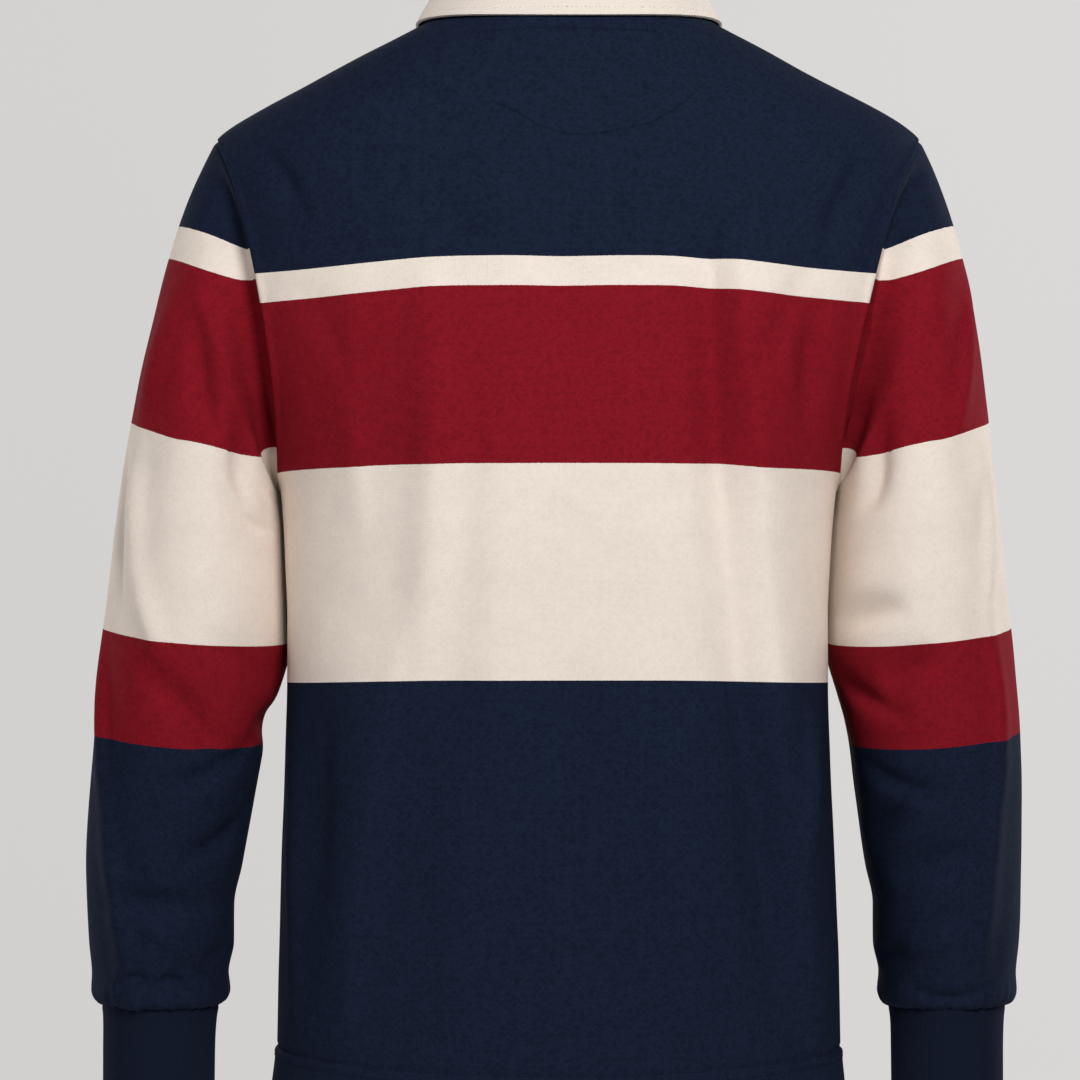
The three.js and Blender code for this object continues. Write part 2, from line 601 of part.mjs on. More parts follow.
function solid(geometry) {
  const indexed = geometry.index ? geometry.toNonIndexed() : geometry;
  const places = new Map();
  const vertices = [];
  const corners = [];
  const source = indexed.getAttribute("position");
  for (let i = 0; i < source.count; i += 1) {
    const place = [source.getX(i), source.getY(i), source.getZ(i)];
    const key = place.map((value) => Math.round(value * 1e4)).join();
    if (!places.has(key)) {
      places.set(key, vertices.length / 3);
      vertices.push(...place);
    }
    corners.push(places.get(key));
  }
  const faces = [];
  for (let i = 0; i < corners.length; i += 3) {
    const [a, b, c] = corners.slice(i, i + 3);
    if (a !== b && b !== c && a !== c) faces.push(a, b, c);
  }
  const mesh = new wasm.Mesh({
    numProp: 3,
    vertProperties: new Float32Array(vertices),
    triVerts: new Uint32Array(faces),
  });
  return new wasm.Manifold(mesh);
}

function geometryOf(body) {
  const mesh = body.getMesh();
  const geometry = new THREE.BufferGeometry();
  geometry.setAttribute("position", new THREE.BufferAttribute(mesh.vertProperties, 3));
  geometry.setIndex(new THREE.BufferAttribute(mesh.triVerts, 1));
  return geometry;
}

// The placket's strips follow the front's own rows from its foot up to the neck, moved out or in.
function placketGrid(halfWidth, top) {
  const rows = LEVELS.slice(FOOT_ROW, NECK_ROW);
  const list = [...rows, NECK_Z - top];
  return list.map((level) =>
    [-1, -0.5, 0, 0.5, 1].map((at) => panelPoint(-1, shareAt(-1, at * halfWidth, level), level)),
  );
}

// Putting the shirt together

const shirt = new THREE.Group();
const navyJersey = new THREE.MeshStandardMaterial({ color: NAVY, roughness: 0.95, metalness: 0 });
const navyRib = new THREE.MeshStandardMaterial({ color: NAVY, roughness: 0.95, metalness: 0 });
const creamTwill = new THREE.MeshStandardMaterial({ color: CREAM, roughness: 0.9, metalness: 0 });
const hornButton = new THREE.MeshStandardMaterial({ color: HORN, roughness: 0.5, metalness: 0 });

function add(name, geometry, material) {
  const mesh = new THREE.Mesh(geometry, material);
  mesh.name = name;
  shirt.add(mesh);
  return mesh;
}

const back = panelGrid(1);
const front = panelGrid(-1);
const backNormals = gridNormals(back, false, -1);
const frontNormals = gridNormals(front, false, 1);
const columns = back[0].length - 1;

// Side and shoulder seams share their normals.
for (let i = 0; i < LEVELS.length; i += 1)
  for (const j of [0, columns])
    if (i <= UNDERARM_ROW || i >= SHOULDER_ROW) {
      const shared = sharedNormal(backNormals[i][j], frontNormals[i][j]);
      backNormals[i][j] = shared;
      frontNormals[i][j] = shared.clone();
    }

// Each sleeve starts on the armhole's points, so the body's edges and the sleeve's first ring match.
function armholePlaces(side) {
  const j = side > 0 ? columns : 0;
  const places = [];
  for (let row = SHOULDER_ROW; row >= UNDERARM_ROW; row -= 1) places.push([backNormals, back, row, j]);
  for (let row = UNDERARM_ROW + 1; row < SHOULDER_ROW; row += 1) places.push([frontNormals, front, row, j]);
  return places;
}

function addSleeve(side, name) {
  const hang = (point) => {
    const placed = side > 0 ? point.clone() : mirrored(point);
    placed.x += lean(placed.z);
    placed.x += SWING[name] * (1 - ease(SWING_TO, SWING_FROM, placed.z));
    return placed;
  };
  const grid = sleeveGrid(side).map((row) => row.map(hang));
  const flip = side > 0 ? -1 : 1;
  const normals = gridNormals(grid, true, flip);
  const places = armholePlaces(side);
  const edge = places.map(([, points, row, j]) => points[row][j].clone());
  edge[0].y = 0;
  edge[ARMHOLE_ROWS].y = 0;
  places.forEach(([list, , row, j], k) => {
    const shared = sharedNormal(list[row][j], normals[0][k]);
    normals[0][k] = shared;
    list[row][j] = shared.clone();
  });
  for (const row of [SHOULDER_ROW, UNDERARM_ROW]) {
    const j = side > 0 ? columns : 0;
    frontNormals[row][j] = backNormals[row][j].clone();
  }
  grid[0] = acrossSeam(edge, normals[0], grid[1], true);
  const cuff = cuffGrid(grid[0].length).map((row) => row.map(hang));
  const cuffNormals = gridNormals(cuff, true, flip);
  const end = grid.length - 1;
  normals[end].forEach((normal, k) => {
    const shared = sharedNormal(normal, cuffNormals[0][k]);
    normals[end][k] = shared;
    cuffNormals[0][k] = shared.clone();
  });
  cuff[0] = acrossSeam(grid[end], normals[end], cuff[1], true);
  const cloth = { out: JERSEY / 2, inn: JERSEY / 2, wrap: true, flip };
  // The sleeve is one cut of cloth, held as two solids: its cap, and the plain tube below.
  const cap = { grid: grid.slice(0, CAP_STEPS + 1), normals: normals.slice(0, CAP_STEPS + 1) };
  const tube = { grid: grid.slice(CAP_STEPS), normals: normals.slice(CAP_STEPS) };
  tube.grid[0] = acrossSeam(cap.grid[CAP_STEPS], cap.normals[CAP_STEPS], tube.grid[1], true);
  add(`sleeve_cap_${name}`, wall({ ...cap, ...cloth }), navyJersey);
  add(`sleeve_${name}`, wall({ ...tube, ...cloth }), navyJersey);
  const rib = { out: RIB / 2, inn: RIB / 2, wrap: true, flip };
  add(`cuff_${name}`, wall({ grid: cuff, normals: cuffNormals, ...rib }), navyRib);
}

addSleeve(1, "left");
addSleeve(-1, "right");

// The neck edge, from the centre front on the wearer's right round the back to the left.
const middle = HALF_COLUMNS;
const neckPlaces = [];
for (let j = middle - 1; j >= 0; j -= 1) neckPlaces.push([front, frontNormals, j]);
for (let j = 1; j < columns; j += 1) neckPlaces.push([back, backNormals, j]);
for (let j = columns; j >= middle + 1; j -= 1) neckPlaces.push([front, frontNormals, j]);
const neckEdge = neckPlaces.map(([grid, , j]) => grid[NECK_ROW][j].clone());
const endShare = shareAt(-1, COLLAR_END, NECK_Z);
const ends = [-endShare, endShare].map((share) => panelPoint(-1, share, NECK_Z));
neckEdge.unshift(ends[0]);
neckEdge.push(ends[1]);

const collar = collarGrid(neckEdge);
const collarNormals = gridNormals(collar, false, 1);
neckEdge.forEach((_, k) => {
  const [, list, j] = neckPlaces[Math.min(Math.max(k - 1, 0), neckPlaces.length - 1)];
  const atEnd = k === 0 || k === neckEdge.length - 1;
  const shared = sharedNormal(list[NECK_ROW][j], collarNormals[0][k].clone().negate());
  collarNormals[0][k] = shared.clone().negate();
  if (!atEnd) list[NECK_ROW][j] = shared;
});
for (const j of [0, columns]) backNormals[NECK_ROW][j] = frontNormals[NECK_ROW][j].clone();
collar[0] = acrossSeam(neckEdge, collarNormals[0], collar[1], false);
add("collar", wall({ grid: collar, normals: collarNormals, out: TWILL / 2, inn: TWILL / 2 }), creamTwill);

// The body's panels. The turned-up hem is thicker on the inside, and the front is open for the placket.
const HEM_ROWS = 2;
const inward = (i) => (i < HEM_ROWS ? HEM_CLOTH - JERSEY / 2 : JERSEY / 2);
add(
  "back",
  wall({ grid: back, normals: backNormals, out: JERSEY / 2, inn: inward, flip: -1 }),
  navyJersey,
);
const besidePlacket = (i, j) => i < FOOT_ROW || (j !== middle - 1 && j !== middle);
add(
  "front",
  wall({ grid: front, normals: frontNormals, out: JERSEY / 2, inn: inward, keep: besidePlacket }),
  navyJersey,
);

for (const { name, half, out, thick, belowNeck } of PLACKET_STRIPS) {
  const grid = placketGrid(half, belowNeck);
  grid[0] = grid[0].map((point, k) => point.lerp(grid[1][k], SEAM_GAP / point.distanceTo(grid[1][k])));
  const normals = gridNormals(grid, false, 1);
  add(name, wall({ grid, normals, out: out + thick / 2, inn: thick / 2 - out }), creamTwill);
}

BUTTONS_BELOW_NECK.forEach((below, index) => {
  const height = NECK_Z - FRONT_NECK_DROP - below;
  const centre = panelPoint(-1, 0, frontLevelAt(height));
  const normal = surfaceNormal(-1, bodySurface(-1, 0, height));
  const mesh = add(`button_${index + 1}`, button(), hornButton);
  const { out, thick } = PLACKET_STRIPS[0];
  mesh.position.copy(centre.addScaledVector(normal, out + thick / 2 + SEAM_GAP));
  mesh.quaternion.setFromUnitVectors(new THREE.Vector3(0, 1, 0), normal);
});

export default shirt;
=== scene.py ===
# %% [markdown]
# # A rugby shirt, cell by cell
# The shirt is heavy knitted jersey in wide colour bands, with a twill collar, a buttoned placket and
# rib cuffs. It stands filled out as if worn, with nobody in it, and is seen from behind.
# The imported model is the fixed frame. Its plain cloth solids are replaced here by finer pieces on the
# same surfaces, and its buttons stay and get a better finish.

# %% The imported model
import math

import bpy
import numpy as np
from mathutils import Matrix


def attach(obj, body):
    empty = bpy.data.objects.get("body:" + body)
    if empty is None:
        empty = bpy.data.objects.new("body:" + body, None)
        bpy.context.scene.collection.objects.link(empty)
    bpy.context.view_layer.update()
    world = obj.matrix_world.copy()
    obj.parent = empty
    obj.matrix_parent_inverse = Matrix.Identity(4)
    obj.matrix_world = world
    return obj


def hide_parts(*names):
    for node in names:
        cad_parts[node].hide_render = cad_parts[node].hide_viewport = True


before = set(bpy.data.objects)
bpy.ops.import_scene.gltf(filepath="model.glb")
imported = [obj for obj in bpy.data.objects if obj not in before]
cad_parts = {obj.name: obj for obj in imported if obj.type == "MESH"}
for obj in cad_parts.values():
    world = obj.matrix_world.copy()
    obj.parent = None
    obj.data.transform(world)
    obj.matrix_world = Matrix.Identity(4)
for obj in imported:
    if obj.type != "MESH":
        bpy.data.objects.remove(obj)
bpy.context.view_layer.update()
print("solids in the frame:", sorted(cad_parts))

# %% [markdown]
# ## Measures
# A cutter works from a table of measures, and so does this script. Everything is in millimetres until
# a mesh is made. The body is one oval column given by its half width and its depth at each height.
# The armholes cut it, the sleeves start on the armholes' edge, and the cuffs end the sleeves.

# %% Driving measures
MM = 0.001
SEAM_GAP = 0.06
JERSEY = 1.6
HEM_CLOTH = 2.8
HEM_DEPTH = 25
TWILL = 2
RIB = 2

HEM_Z = -694
UNDERARM_Z = -305
SHOULDER_Z = -74
NECK_Z = 8
HEM_TOP = HEM_Z + HEM_DEPTH
FRONT_NECK_DROP = 66
NECK_DROP_START_Z = -190
TAIL = {1: 10, -1: 3}
TAIL_START_Z = -560
BOXY = 0.25

PLACKET_HALF = 16
PLACKET_LENGTH = 168
BUTTON_THICK = 2.6
BUTTONS_BELOW_NECK = (15, 75, 135)
BACK, FRONT = 1, -1
LEFT, RIGHT = 1, -1


# %% Tables of measures
def measures(names, rows):
    """A table as named columns, sorted by its first column."""
    return dict(zip(names.split(), np.array(sorted(rows), float).T))


BODY_OVALS = measures("z half back front", [
    (8, 85, 64, 20), (0, 98.5, 69.5, 36), (-21, 138, 81, 54), (-41, 175.5, 90, 66.5),
    (-54, 200.5, 95, 73), (-61, 213, 97.5, 76.5), (-67, 222.5, 99.3, 79), (-74, 231, 101.2, 82),
    (-83, 237, 103.6, 85.5), (-100, 241.5, 107, 92), (-122, 243, 110.5, 99.5),
    (-150, 240, 113, 107), (-190, 228.5, 115, 115), (-230, 211, 115, 119),
    (-265, 195.5, 114, 120), (-290, 186.3, 113, 119.3), (-305, 182.6, 112, 118.5),
    (-330, 180.2, 110.4, 116.8), (-351, 179, 109, 115), (-391, 177.3, 106, 112.5),
    (-433, 177.3, 105, 111.5), (-483, 178.5, 106, 112), (-536, 180.3, 109, 113.5),
    (-589, 181.7, 113, 115.5), (-641, 182.6, 117, 117.5), (-669, 183.3, 119, 118.5),
    (-694, 186, 121.5, 120),
])
HANG = measures("z aside", [
    (0, 0), (-60, 0.3), (-113, 1.6), (-180, 3), (-245, 5.4), (-312, 7), (-400, 7.6), (-720, 7.6),
])
SWING = {LEFT: 3.2, RIGHT: 1.7}
SWING_FROM, SWING_TO = -450, -560
ARMHOLE_EDGE = measures("z back front", [
    (-74, 231, 231), (-85, 226.5, 225), (-100, 220, 216.5), (-120, 213, 207), (-142, 206.5, 199),
    (-169, 200, 191.5), (-206, 192.5, 184.5), (-245, 186, 180.5), (-275, 183.3, 180.5),
    (-305, 182.6, 182.6),
])
RING = "length out_x out_z in_x in_z deep mid_y sag"
SLEEVE_RINGS = measures(RING, [
    (0, 231, -74, 182.6, -305, 61, 2, 0), (33, 245, -103, 185.6, -306.5, 62, 2, 0),
    (63, 255.3, -131.5, 185.6, -310.5, 64, 2, 1), (100, 265, -167, 185, -316, 66, 2, 2),
    (150, 275, -216, 184.2, -322, 68.5, 2, 3), (194, 281.5, -259.5, 183.6, -328, 70, 2, 3.5),
    (242, 288, -307, 183, -337, 70.5, 2, 4.5), (285, 293, -350, 181.6, -366, 70, 2, 6),
    (329, 298, -394, 180.8, -404.5, 68, 1, 6.5), (362, 301.3, -427, 186, -437, 65.5, -1, 6.5),
    (398, 304.6, -462, 193.2, -471, 62, -4, 6.5), (432, 306.6, -496, 198.2, -502, 58.5, -8, 6),
    (486, 308.2, -549, 206.5, -553, 53.5, -16, 5), (512, 308, -575.5, 212, -578.5, 51.5, -20, 4.5),
    (540, 307.2, -603, 212.5, -605, 49.5, -25, 3.5), (561, 305.8, -624, 216.3, -625, 47.5, -28.5, 2),
    (573, 306.3, -636, 215.5, -637, 47.5, -30, 1.5), (580, 303.8, -642.5, 218.2, -643.5, 45, -30.5, 1),
    (586, 299, -645, 223, -646, 40.5, -31, 0.5),
])
CUFF_RINGS = measures(RING, [
    (0, 299, -645, 223, -646, 40.5, -31, 0.5), (8, 298, -653.5, 224.6, -654.5, 38, -31.5, 0.5),
    (20, 297.7, -666, 225.4, -667, 36.7, -32.5, 0.5), (66, 298, -712, 226.2, -713, 36.2, -36, 0.5),
])
CAP_LENGTH = 242
SLEEVE_END = 586
CUFF_LENGTH = 66
print("heights in the body's table:", len(BODY_OVALS["z"]))


# %% Reading a table
def column(rows, name, at):
    """A named column's value between a table's rows, through them without overshoot."""
    keys, values = next(iter(rows.values())), rows[name]
    spans = np.diff(keys)
    slopes = np.diff(values) / spans
    product = slopes[:-1] * slopes[1:]
    both = np.where(product > 0, slopes[:-1] + slopes[1:], 1)
    tangents = np.concatenate([slopes[:1], np.where(product > 0, 2 * product / both, 0), slopes[-1:]])
    at = np.clip(at, keys[0], keys[-1])
    i = np.clip(np.searchsorted(keys, at) - 1, 0, len(keys) - 2)
    t = (at - keys[i]) / spans[i]
    return (
        values[i] * (1 + 2 * t) * (1 - t) ** 2
        + tangents[i] * spans[i] * t * (1 - t) ** 2
        + values[i + 1] * t * t * (3 - 2 * t)
        + tangents[i + 1] * spans[i] * t * t * (t - 1)
    )


def ease(low, high, value):
    """0 below low, 1 above high, and a smooth step between."""
    t = np.clip((np.asarray(value, float) - low) / (high - low), 0, 1)
    return t * t * (3 - 2 * t)


def bump(value, width):
    """A soft bell, 1 where the value is 0."""
    return np.exp(-((value / width) ** 2))


def unit(vectors):
    return vectors / np.linalg.norm(vectors, axis=-1, keepdims=True)


def lean(z):
    return column(HANG, "aside", z)


# %% [markdown]
# ## Folds
# Cloth that is filled out has few folds, and each one starts somewhere: under the shoulder blades, at
# the armpit, inside the elbow, above the cuff. A simulation would scatter them. Here each is placed one
# by one as a soft ridge or trough along a line, in the flat measure of its panel.

# %% Where the folds lie
# Each row: across and along of the line's start, the same of its end, height, width on the two sides
# of the line, and how far its middle bows aside. On a sleeve, across is the turn round it in degrees
# (0 outer fold, 90 back, 180 underarm, 270 front) and along is the length down it. The heights are
# multiplied by the scale.
FOLD_SCALE = 1.3
FOLDS = {
    "back": [
        (136, -192, 126, -330, 3, 8, 13, 0), (88, -170, 92, -440, 6.5, 12, 17, 12),
        (-107, -130, -141, -440, 6.5, 24, 8, 0), (-87, -130, -118, -440, -8, 8, 16, 0),
        (-160, -188, -158, -266, -6.5, 8, 9, 0), (104, -416, 137, -664, 8.5, 9, 32, 0),
        (-133, -405, -171, -690, 9, 24, 8, -3), (-114, -405, -144, -640, -7.5, 8, 18, 0),
        (-160, -452, -150, -548, 6, 10, 5, 0), (172, -446, 166, -662, 3, 6, 6, 0),
        (196, -88, 168, -136, -3.5, 6, 9, 3), (-190, -96, -166, -150, -4.2, 9, 6, -3),
        (-170, -150, -120, -250, -2.4, 12, 9, -6), (168, -180, 126, -262, -2.4, 12, 9, 5),
        (34, -240, 44, -560, 4.5, 22, 18, 0), (-20, -440, -34, -660, -5, 20, 20, 0),
        (64, -84, 30, -156, 3.5, 20, 20, 0), (-70, -80, -36, -156, 3.5, 20, 20, 0),
        (0, -120, 4, -260, -3, 20, 20, 0), (150, -440, 150, -600, -3, 10, 12, 0),
        (-70, -470, -88, -660, 4, 18, 18, 0), (60, -470, 66, -664, 4, 16, 16, 0),
    ],
    "front": [
        (120, -190, 146, -430, -5.5, 18, 12, 0), (70, -330, 96, -640, -5, 20, 20, 0),
        (-96, -220, -84, -470, -5, 18, 18, 0), (-132, -300, -150, -630, 6, 10, 22, 0),
        (168, -130, 132, -230, -3.4, 9, 14, 5), (-168, -124, -130, -226, -3.4, 14, 9, -5),
        (34, -270, 60, -420, -2.6, 16, 16, 4), (-30, -268, -58, -400, 2.4, 16, 16, -4),
        (-40, -450, -56, -660, -3.4, 20, 20, 0), (150, -470, 158, -664, 4.5, 8, 20, 0),
        (20, -500, 30, -664, 2.6, 18, 18, 0), (-166, -270, -120, -330, -2.6, 10, 10, 0),
    ],
    "left": [
        (114, 62, 128, 190, -6.5, 12, 17, 0),
        (42, 90, 36, 196, 4, 11, 11, 0), (66, 84, 92, 148, -6, 17, 14, 0),
        (40, 205, 50, 290, 5, 10, 9, 0), (50, 285, 76, 342, 4.5, 10, 9, 0),
        (16, 215, 38, 318, -3.5, 7, 7, 0), (68, 352, 122, 404, -6, 12, 8, 4),
        (20, 332, 40, 430, 4.5, 6, 11, 0), (40, 425, 72, 578, 5, 6, 11, 4),
        (52, 508, 132, 512, -5.5, 10, 7, 3), (150, 380, 200, 388, -5.5, 12, 12, 0),
        (248, 330, 300, 392, -5.5, 14, 9, 0), (250, 120, 285, 210, -5, 15, 12, 0),
        (104, 326, 150, 356, -2.4, 12, 9, 3), (96, 424, 150, 396, -4, 8, 8, -3),
        (60, 566, 88, 565, -4, 5, 7, 6), (90, 565, 120, 570, -4, 5, 7, 6),
        (110, 474, 160, 448, -4.5, 9, 9, -3), (100, 190, 146, 236, -1.8, 13, 11, 0),
        (124, 120, 136, 200, 2.5, 9, 9, 0), (132, 548, 168, 540, -3, 7, 7, 0),
        (220, 452, 262, 430, -4, 9, 9, 4), (230, 520, 290, 508, -5, 10, 7, -4),
        (236, 566, 280, 566, -3.4, 5, 7, 5), (300, 250, 292, 330, 3.4, 11, 11, 0),
        (212, 372, 250, 352, -4, 9, 9, 0), (84, 520, 128, 548, 3.5, 7, 7, 0),
    ],
    "right": [
        (112, 62, 126, 190, -6, 12, 17, 0),
        (23, 98, 57, 180, 4, 8, 10, 0), (30, 204, 50, 326, 4, 7, 10, 0),
        (108, 304, 150, 318, -6, 13, 8, 3), (86, 338, 122, 362, -6, 13, 8, 3),
        (46, 328, 50, 430, 5, 6, 11, 0), (50, 424, 74, 568, 5, 6, 11, 3),
        (70, 470, 128, 492, -4.5, 12, 9, 3), (246, 340, 304, 380, -5.5, 14, 9, 0),
        (258, 130, 276, 220, -5, 15, 12, 0), (64, 568, 124, 568, -4.5, 5, 7, -6),
        (112, 376, 158, 350, -4.5, 9, 7, -3), (92, 432, 150, 410, -3.5, 8, 8, -3),
        (126, 130, 126, 216, -1.8, 14, 14, 0), (120, 440, 160, 462, -4.5, 9, 9, 0),
        (128, 540, 166, 548, -3.5, 7, 7, 0), (224, 440, 262, 458, -4, 9, 9, 4),
        (232, 512, 288, 520, -5, 10, 7, -4), (240, 566, 286, 566, -3.4, 5, 7, 5),
        (302, 240, 296, 330, 3.4, 11, 11, 0), (84, 528, 130, 540, 3.5, 7, 7, 0),
    ],
}
print("folds placed by hand:", {name: len(rows) for name, rows in FOLDS.items()})


# %% The height of the folds at a point
FADE_SPAN = 1.3
FADE_POWER = 0.6


def ridge(from_x, from_z, run_x, run_z, shape):
    """One fold's height at a point that is given from the start of the fold's line."""
    height, width_one, width_other, bow = shape
    span = np.hypot(run_x, run_z)
    share = (from_x * run_x + from_z * run_z) / span**2
    away = (from_x * run_z - from_z * run_x) / span
    away = away - bow * (1 - (2 * share - 1) ** 2)
    fade = np.cos(np.clip((share - 0.5) / FADE_SPAN, -0.5, 0.5) * math.pi) ** 2
    return height * fade**FADE_POWER * bump(away, np.where(away > 0, width_one, width_other))


def fold_height(across, along, fold):
    x0, z0, x1, z1, *shape = fold
    return ridge(across - x0, along - z0, x1 - x0, z1 - z0, shape)


def fold_height_round(degrees, length, fold, per_degree):
    """The line's ends are measured round the sleeve where the point lies."""
    turn0, at0, turn1, at1, *shape = fold
    run_x = (turn1 - turn0) * per_degree
    return ridge((degrees - turn0) * per_degree, length - at0, run_x, at1 - at0, shape)


def unevenness(across, along, seed, most=0.3):
    """A slight waviness of the whole cloth, longer along the panel than across it."""
    random = np.random.default_rng(seed)
    total = 0
    for _ in range(16):
        length = random.uniform(26, 120)
        angle = random.normal(0, 0.55)
        phase = random.uniform(0, 2 * math.pi)
        way = across * math.cos(angle) + along * math.sin(angle)
        total = total + length / 120 * np.sin(2 * math.pi * way / length + phase)
    return total * most / 2.2


# %% [markdown]
# ## The body's surface
# A tailor would call the body a tube that closes over the shoulders. Its section is a little squarer
# than an ellipse. A panel's row is named by its height at the panel's edge, and it dips towards the
# middle at the front of the neck and at the hem.

# %% The bare surface
def depth_of(side):
    return "back" if side > 0 else "front"


def body_surface(side, x, z):
    across = x / column(BODY_OVALS, "half", z)
    deep = column(BODY_OVALS, depth_of(side), z)
    rise = np.sqrt(np.maximum(0, 1 - across**2)) * (1 + BOXY * across**2)
    return np.stack([x + 0 * rise, side * deep * rise, z + 0 * rise], axis=-1)


def surface_normal(side, point):
    x, z = point[..., 0], point[..., 2]

    def slope(name):
        return column(BODY_OVALS, name, z + 0.5) - column(BODY_OVALS, name, z - 0.5)

    half = column(BODY_OVALS, "half", z)
    deep = column(BODY_OVALS, depth_of(side), z)
    across = np.clip(x / half, -1, 1)
    left = 1 - across**2
    squared = 1 + BOXY * across**2
    fall = across * squared - 2 * BOXY * across * left
    upward = -slope(depth_of(side)) * left * squared - deep * fall * across * slope("half") / half
    return unit(np.stack([deep * fall / half, side * np.sqrt(left), upward], axis=-1))


# %% A panel's rows
def panel_edge(side, level):
    half = column(BODY_OVALS, "half", level)
    free = (level > UNDERARM_Z) & (level < SHOULDER_Z)
    return np.where(free, np.minimum(half, column(ARMHOLE_EDGE, depth_of(side), level)), half)


def panel_turn(side, level):
    return np.arcsin(np.minimum(1, panel_edge(side, level) / column(BODY_OVALS, "half", level)))


def row_height(side, level, across):
    neck = FRONT_NECK_DROP * ease(NECK_DROP_START_Z, NECK_Z, level) if side < 0 else 0
    tail = TAIL[side] * (1 - ease(HEM_Z, TAIL_START_Z, level))
    return level - (neck + tail) * (1 - across**2)


def share_at(side, x, level):
    """The share at which a row passes a distance from the middle."""
    turn = panel_turn(side, level)
    return np.arcsin(x * np.sin(turn) / panel_edge(side, level)) / turn


def row_reach(side, level):
    """About how long a row is from its middle to its edge."""
    half = column(BODY_OVALS, "half", level)
    deep = column(BODY_OVALS, depth_of(side), level)
    return panel_turn(side, level) / 2 * (half + deep) * 1.05


# %% [markdown]
# ## Seams as relief
# A sewn seam pulls the cloth in along a line, and the cloth beside it stands a little proud. At the
# armhole the body's edge rolls over the sleeve. The turned-up hem is double, so it stands out below
# its stitched groove.

# %% The seams' relief on the body
ARMHOLE_LIP = 1.5
ARMHOLE_TUCK = 1.3
SEAM_DIP = 0.9
HEM_GROOVE = 0.9
HEM_STEP = 0.8
HEM_ROLL = 0.6


def seam_relief(side, share, level):
    away = (1 - np.abs(share)) * row_reach(side, level)
    armhole = ease(UNDERARM_Z - 4, UNDERARM_Z + 12, level) * (1 - ease(SHOULDER_Z - 10, SHOULDER_Z, level))
    rolled = ARMHOLE_LIP * bump(away - 4, 3.2) - ARMHOLE_TUCK * bump(away, 1.4)
    sewn = -SEAM_DIP * bump(away, 2)
    hem = -HEM_GROOVE * bump(level - HEM_TOP, 1.5) + HEM_ROLL * bump(level - HEM_TOP + 4, 2.4)
    hem = hem + HEM_STEP * (1 - ease(HEM_TOP - 2.5, HEM_TOP, level))
    return armhole * rolled + (1 - armhole) * sewn + hem


def panel(side, share, level, out=JERSEY / 2):
    """Points on a panel's face, moved out from the middle of the cloth, and the way they face."""
    share, level = np.broadcast_arrays(np.asarray(share, float), np.asarray(level, float))
    edge = panel_edge(side, level)
    turn = panel_turn(side, level)
    x = edge * np.sin(share * turn) / np.sin(turn)
    point = body_surface(side, x, row_height(side, level, x / edge))
    normal = surface_normal(side, point)
    x, z = point[..., 0], point[..., 2]
    height = FOLD_SCALE * sum(fold_height(x, z, fold) for fold in FOLDS[depth_of(side)])
    height = (height + unevenness(x, z, seed=3 + side)) * (1 - np.abs(share) ** 12)
    height = height + seam_relief(side, share, level) + out
    point = point + normal * height[..., None]
    point[..., 0] += lean(point[..., 2])
    return point, normal


# %% The levels of the rows
def level_at_middle(side, height):
    """The level of the row that passes the panel's middle at a height."""
    low, high = HEM_Z, NECK_Z
    for _ in range(40):
        middle = (low + high) / 2
        low, high = (middle, high) if row_height(side, middle, 0) < height else (low, middle)
    return low


PLACKET_FOOT = level_at_middle(FRONT, NECK_Z - FRONT_NECK_DROP - PLACKET_LENGTH)
HEM_ROWS = [
    -694, -691.5, -688, -684, -680, -677, -674.5, -672.8, -671.4, -670.2, -669, -667.8, -666.4, -664.6,
]
SKIRT_CELLS, ARMHOLE_CELLS, SHOULDER_CELLS = 112, 64, 38
skirt = np.linspace(HEM_ROWS[-1], UNDERARM_Z, SKIRT_CELLS + 1)[1:]
armhole = (UNDERARM_Z + SHOULDER_Z) / 2 - (SHOULDER_Z - UNDERARM_Z) / 2 * np.cos(
    math.pi * np.arange(1, ARMHOLE_CELLS + 1) / ARMHOLE_CELLS
)
shoulder = np.linspace(SHOULDER_Z, NECK_Z, SHOULDER_CELLS + 1)[1:]
LEVELS = np.concatenate([HEM_ROWS, skirt, armhole, shoulder])
FOOT_ROW = int(np.abs(LEVELS - PLACKET_FOOT).argmin())
LEVELS[FOOT_ROW] = PLACKET_FOOT
UNDERARM_ROW = len(HEM_ROWS) + SKIRT_CELLS - 1
SHOULDER_ROW = UNDERARM_ROW + ARMHOLE_CELLS
print("rows:", len(LEVELS), "placket foot at", round(PLACKET_FOOT, 1), "mm")

# %% [markdown]
# ## The bands
# The bands are knitted in, so they are a matter of colour alone and have no edge to feel. Each cloth
# piece carries a map in metres: across the knitting, and along it. The colours are read along it.
# On the body the bands dip a little towards the armholes, as the chest and the arms pull them down.

# %% How the bands run on the body and the sleeves
BAND_DIP_START, BAND_DIP_END = 60, 195
EDGE_HEIGHTS = measures("z height", [(-73, 0), (-151, 63), (-171, 85), (-262, 170), (-286, 194), (-305, 214)])


def band_dip(x, z):
    most = 2.3 + 5.2 * ease(-285, -200, z)
    return most * ease(BAND_DIP_START, BAND_DIP_END, np.abs(x)) * ease(-640, -440, z)


# %% [markdown]
# ## Making a cloth piece
# A primitive grid is added with as many cells as the piece needs, and its vertices are moved onto the
# surface, row by row, as a cutter lays cloth on a form. It is one sheet at first, facing outwards.
# A Solidify modifier then gives it its thickness inwards, and a Bevel rounds the cut edges.

# %% Small helpers for objects
CLOTH_MAP = "cloth"


def deselect():
    bpy.ops.object.select_all(action="DESELECT")


def make_active(piece):
    deselect()
    piece.select_set(True)
    bpy.context.view_layer.objects.active = piece


def triangles(piece):
    return sum(len(face.vertices) - 2 for face in piece.data.polygons)


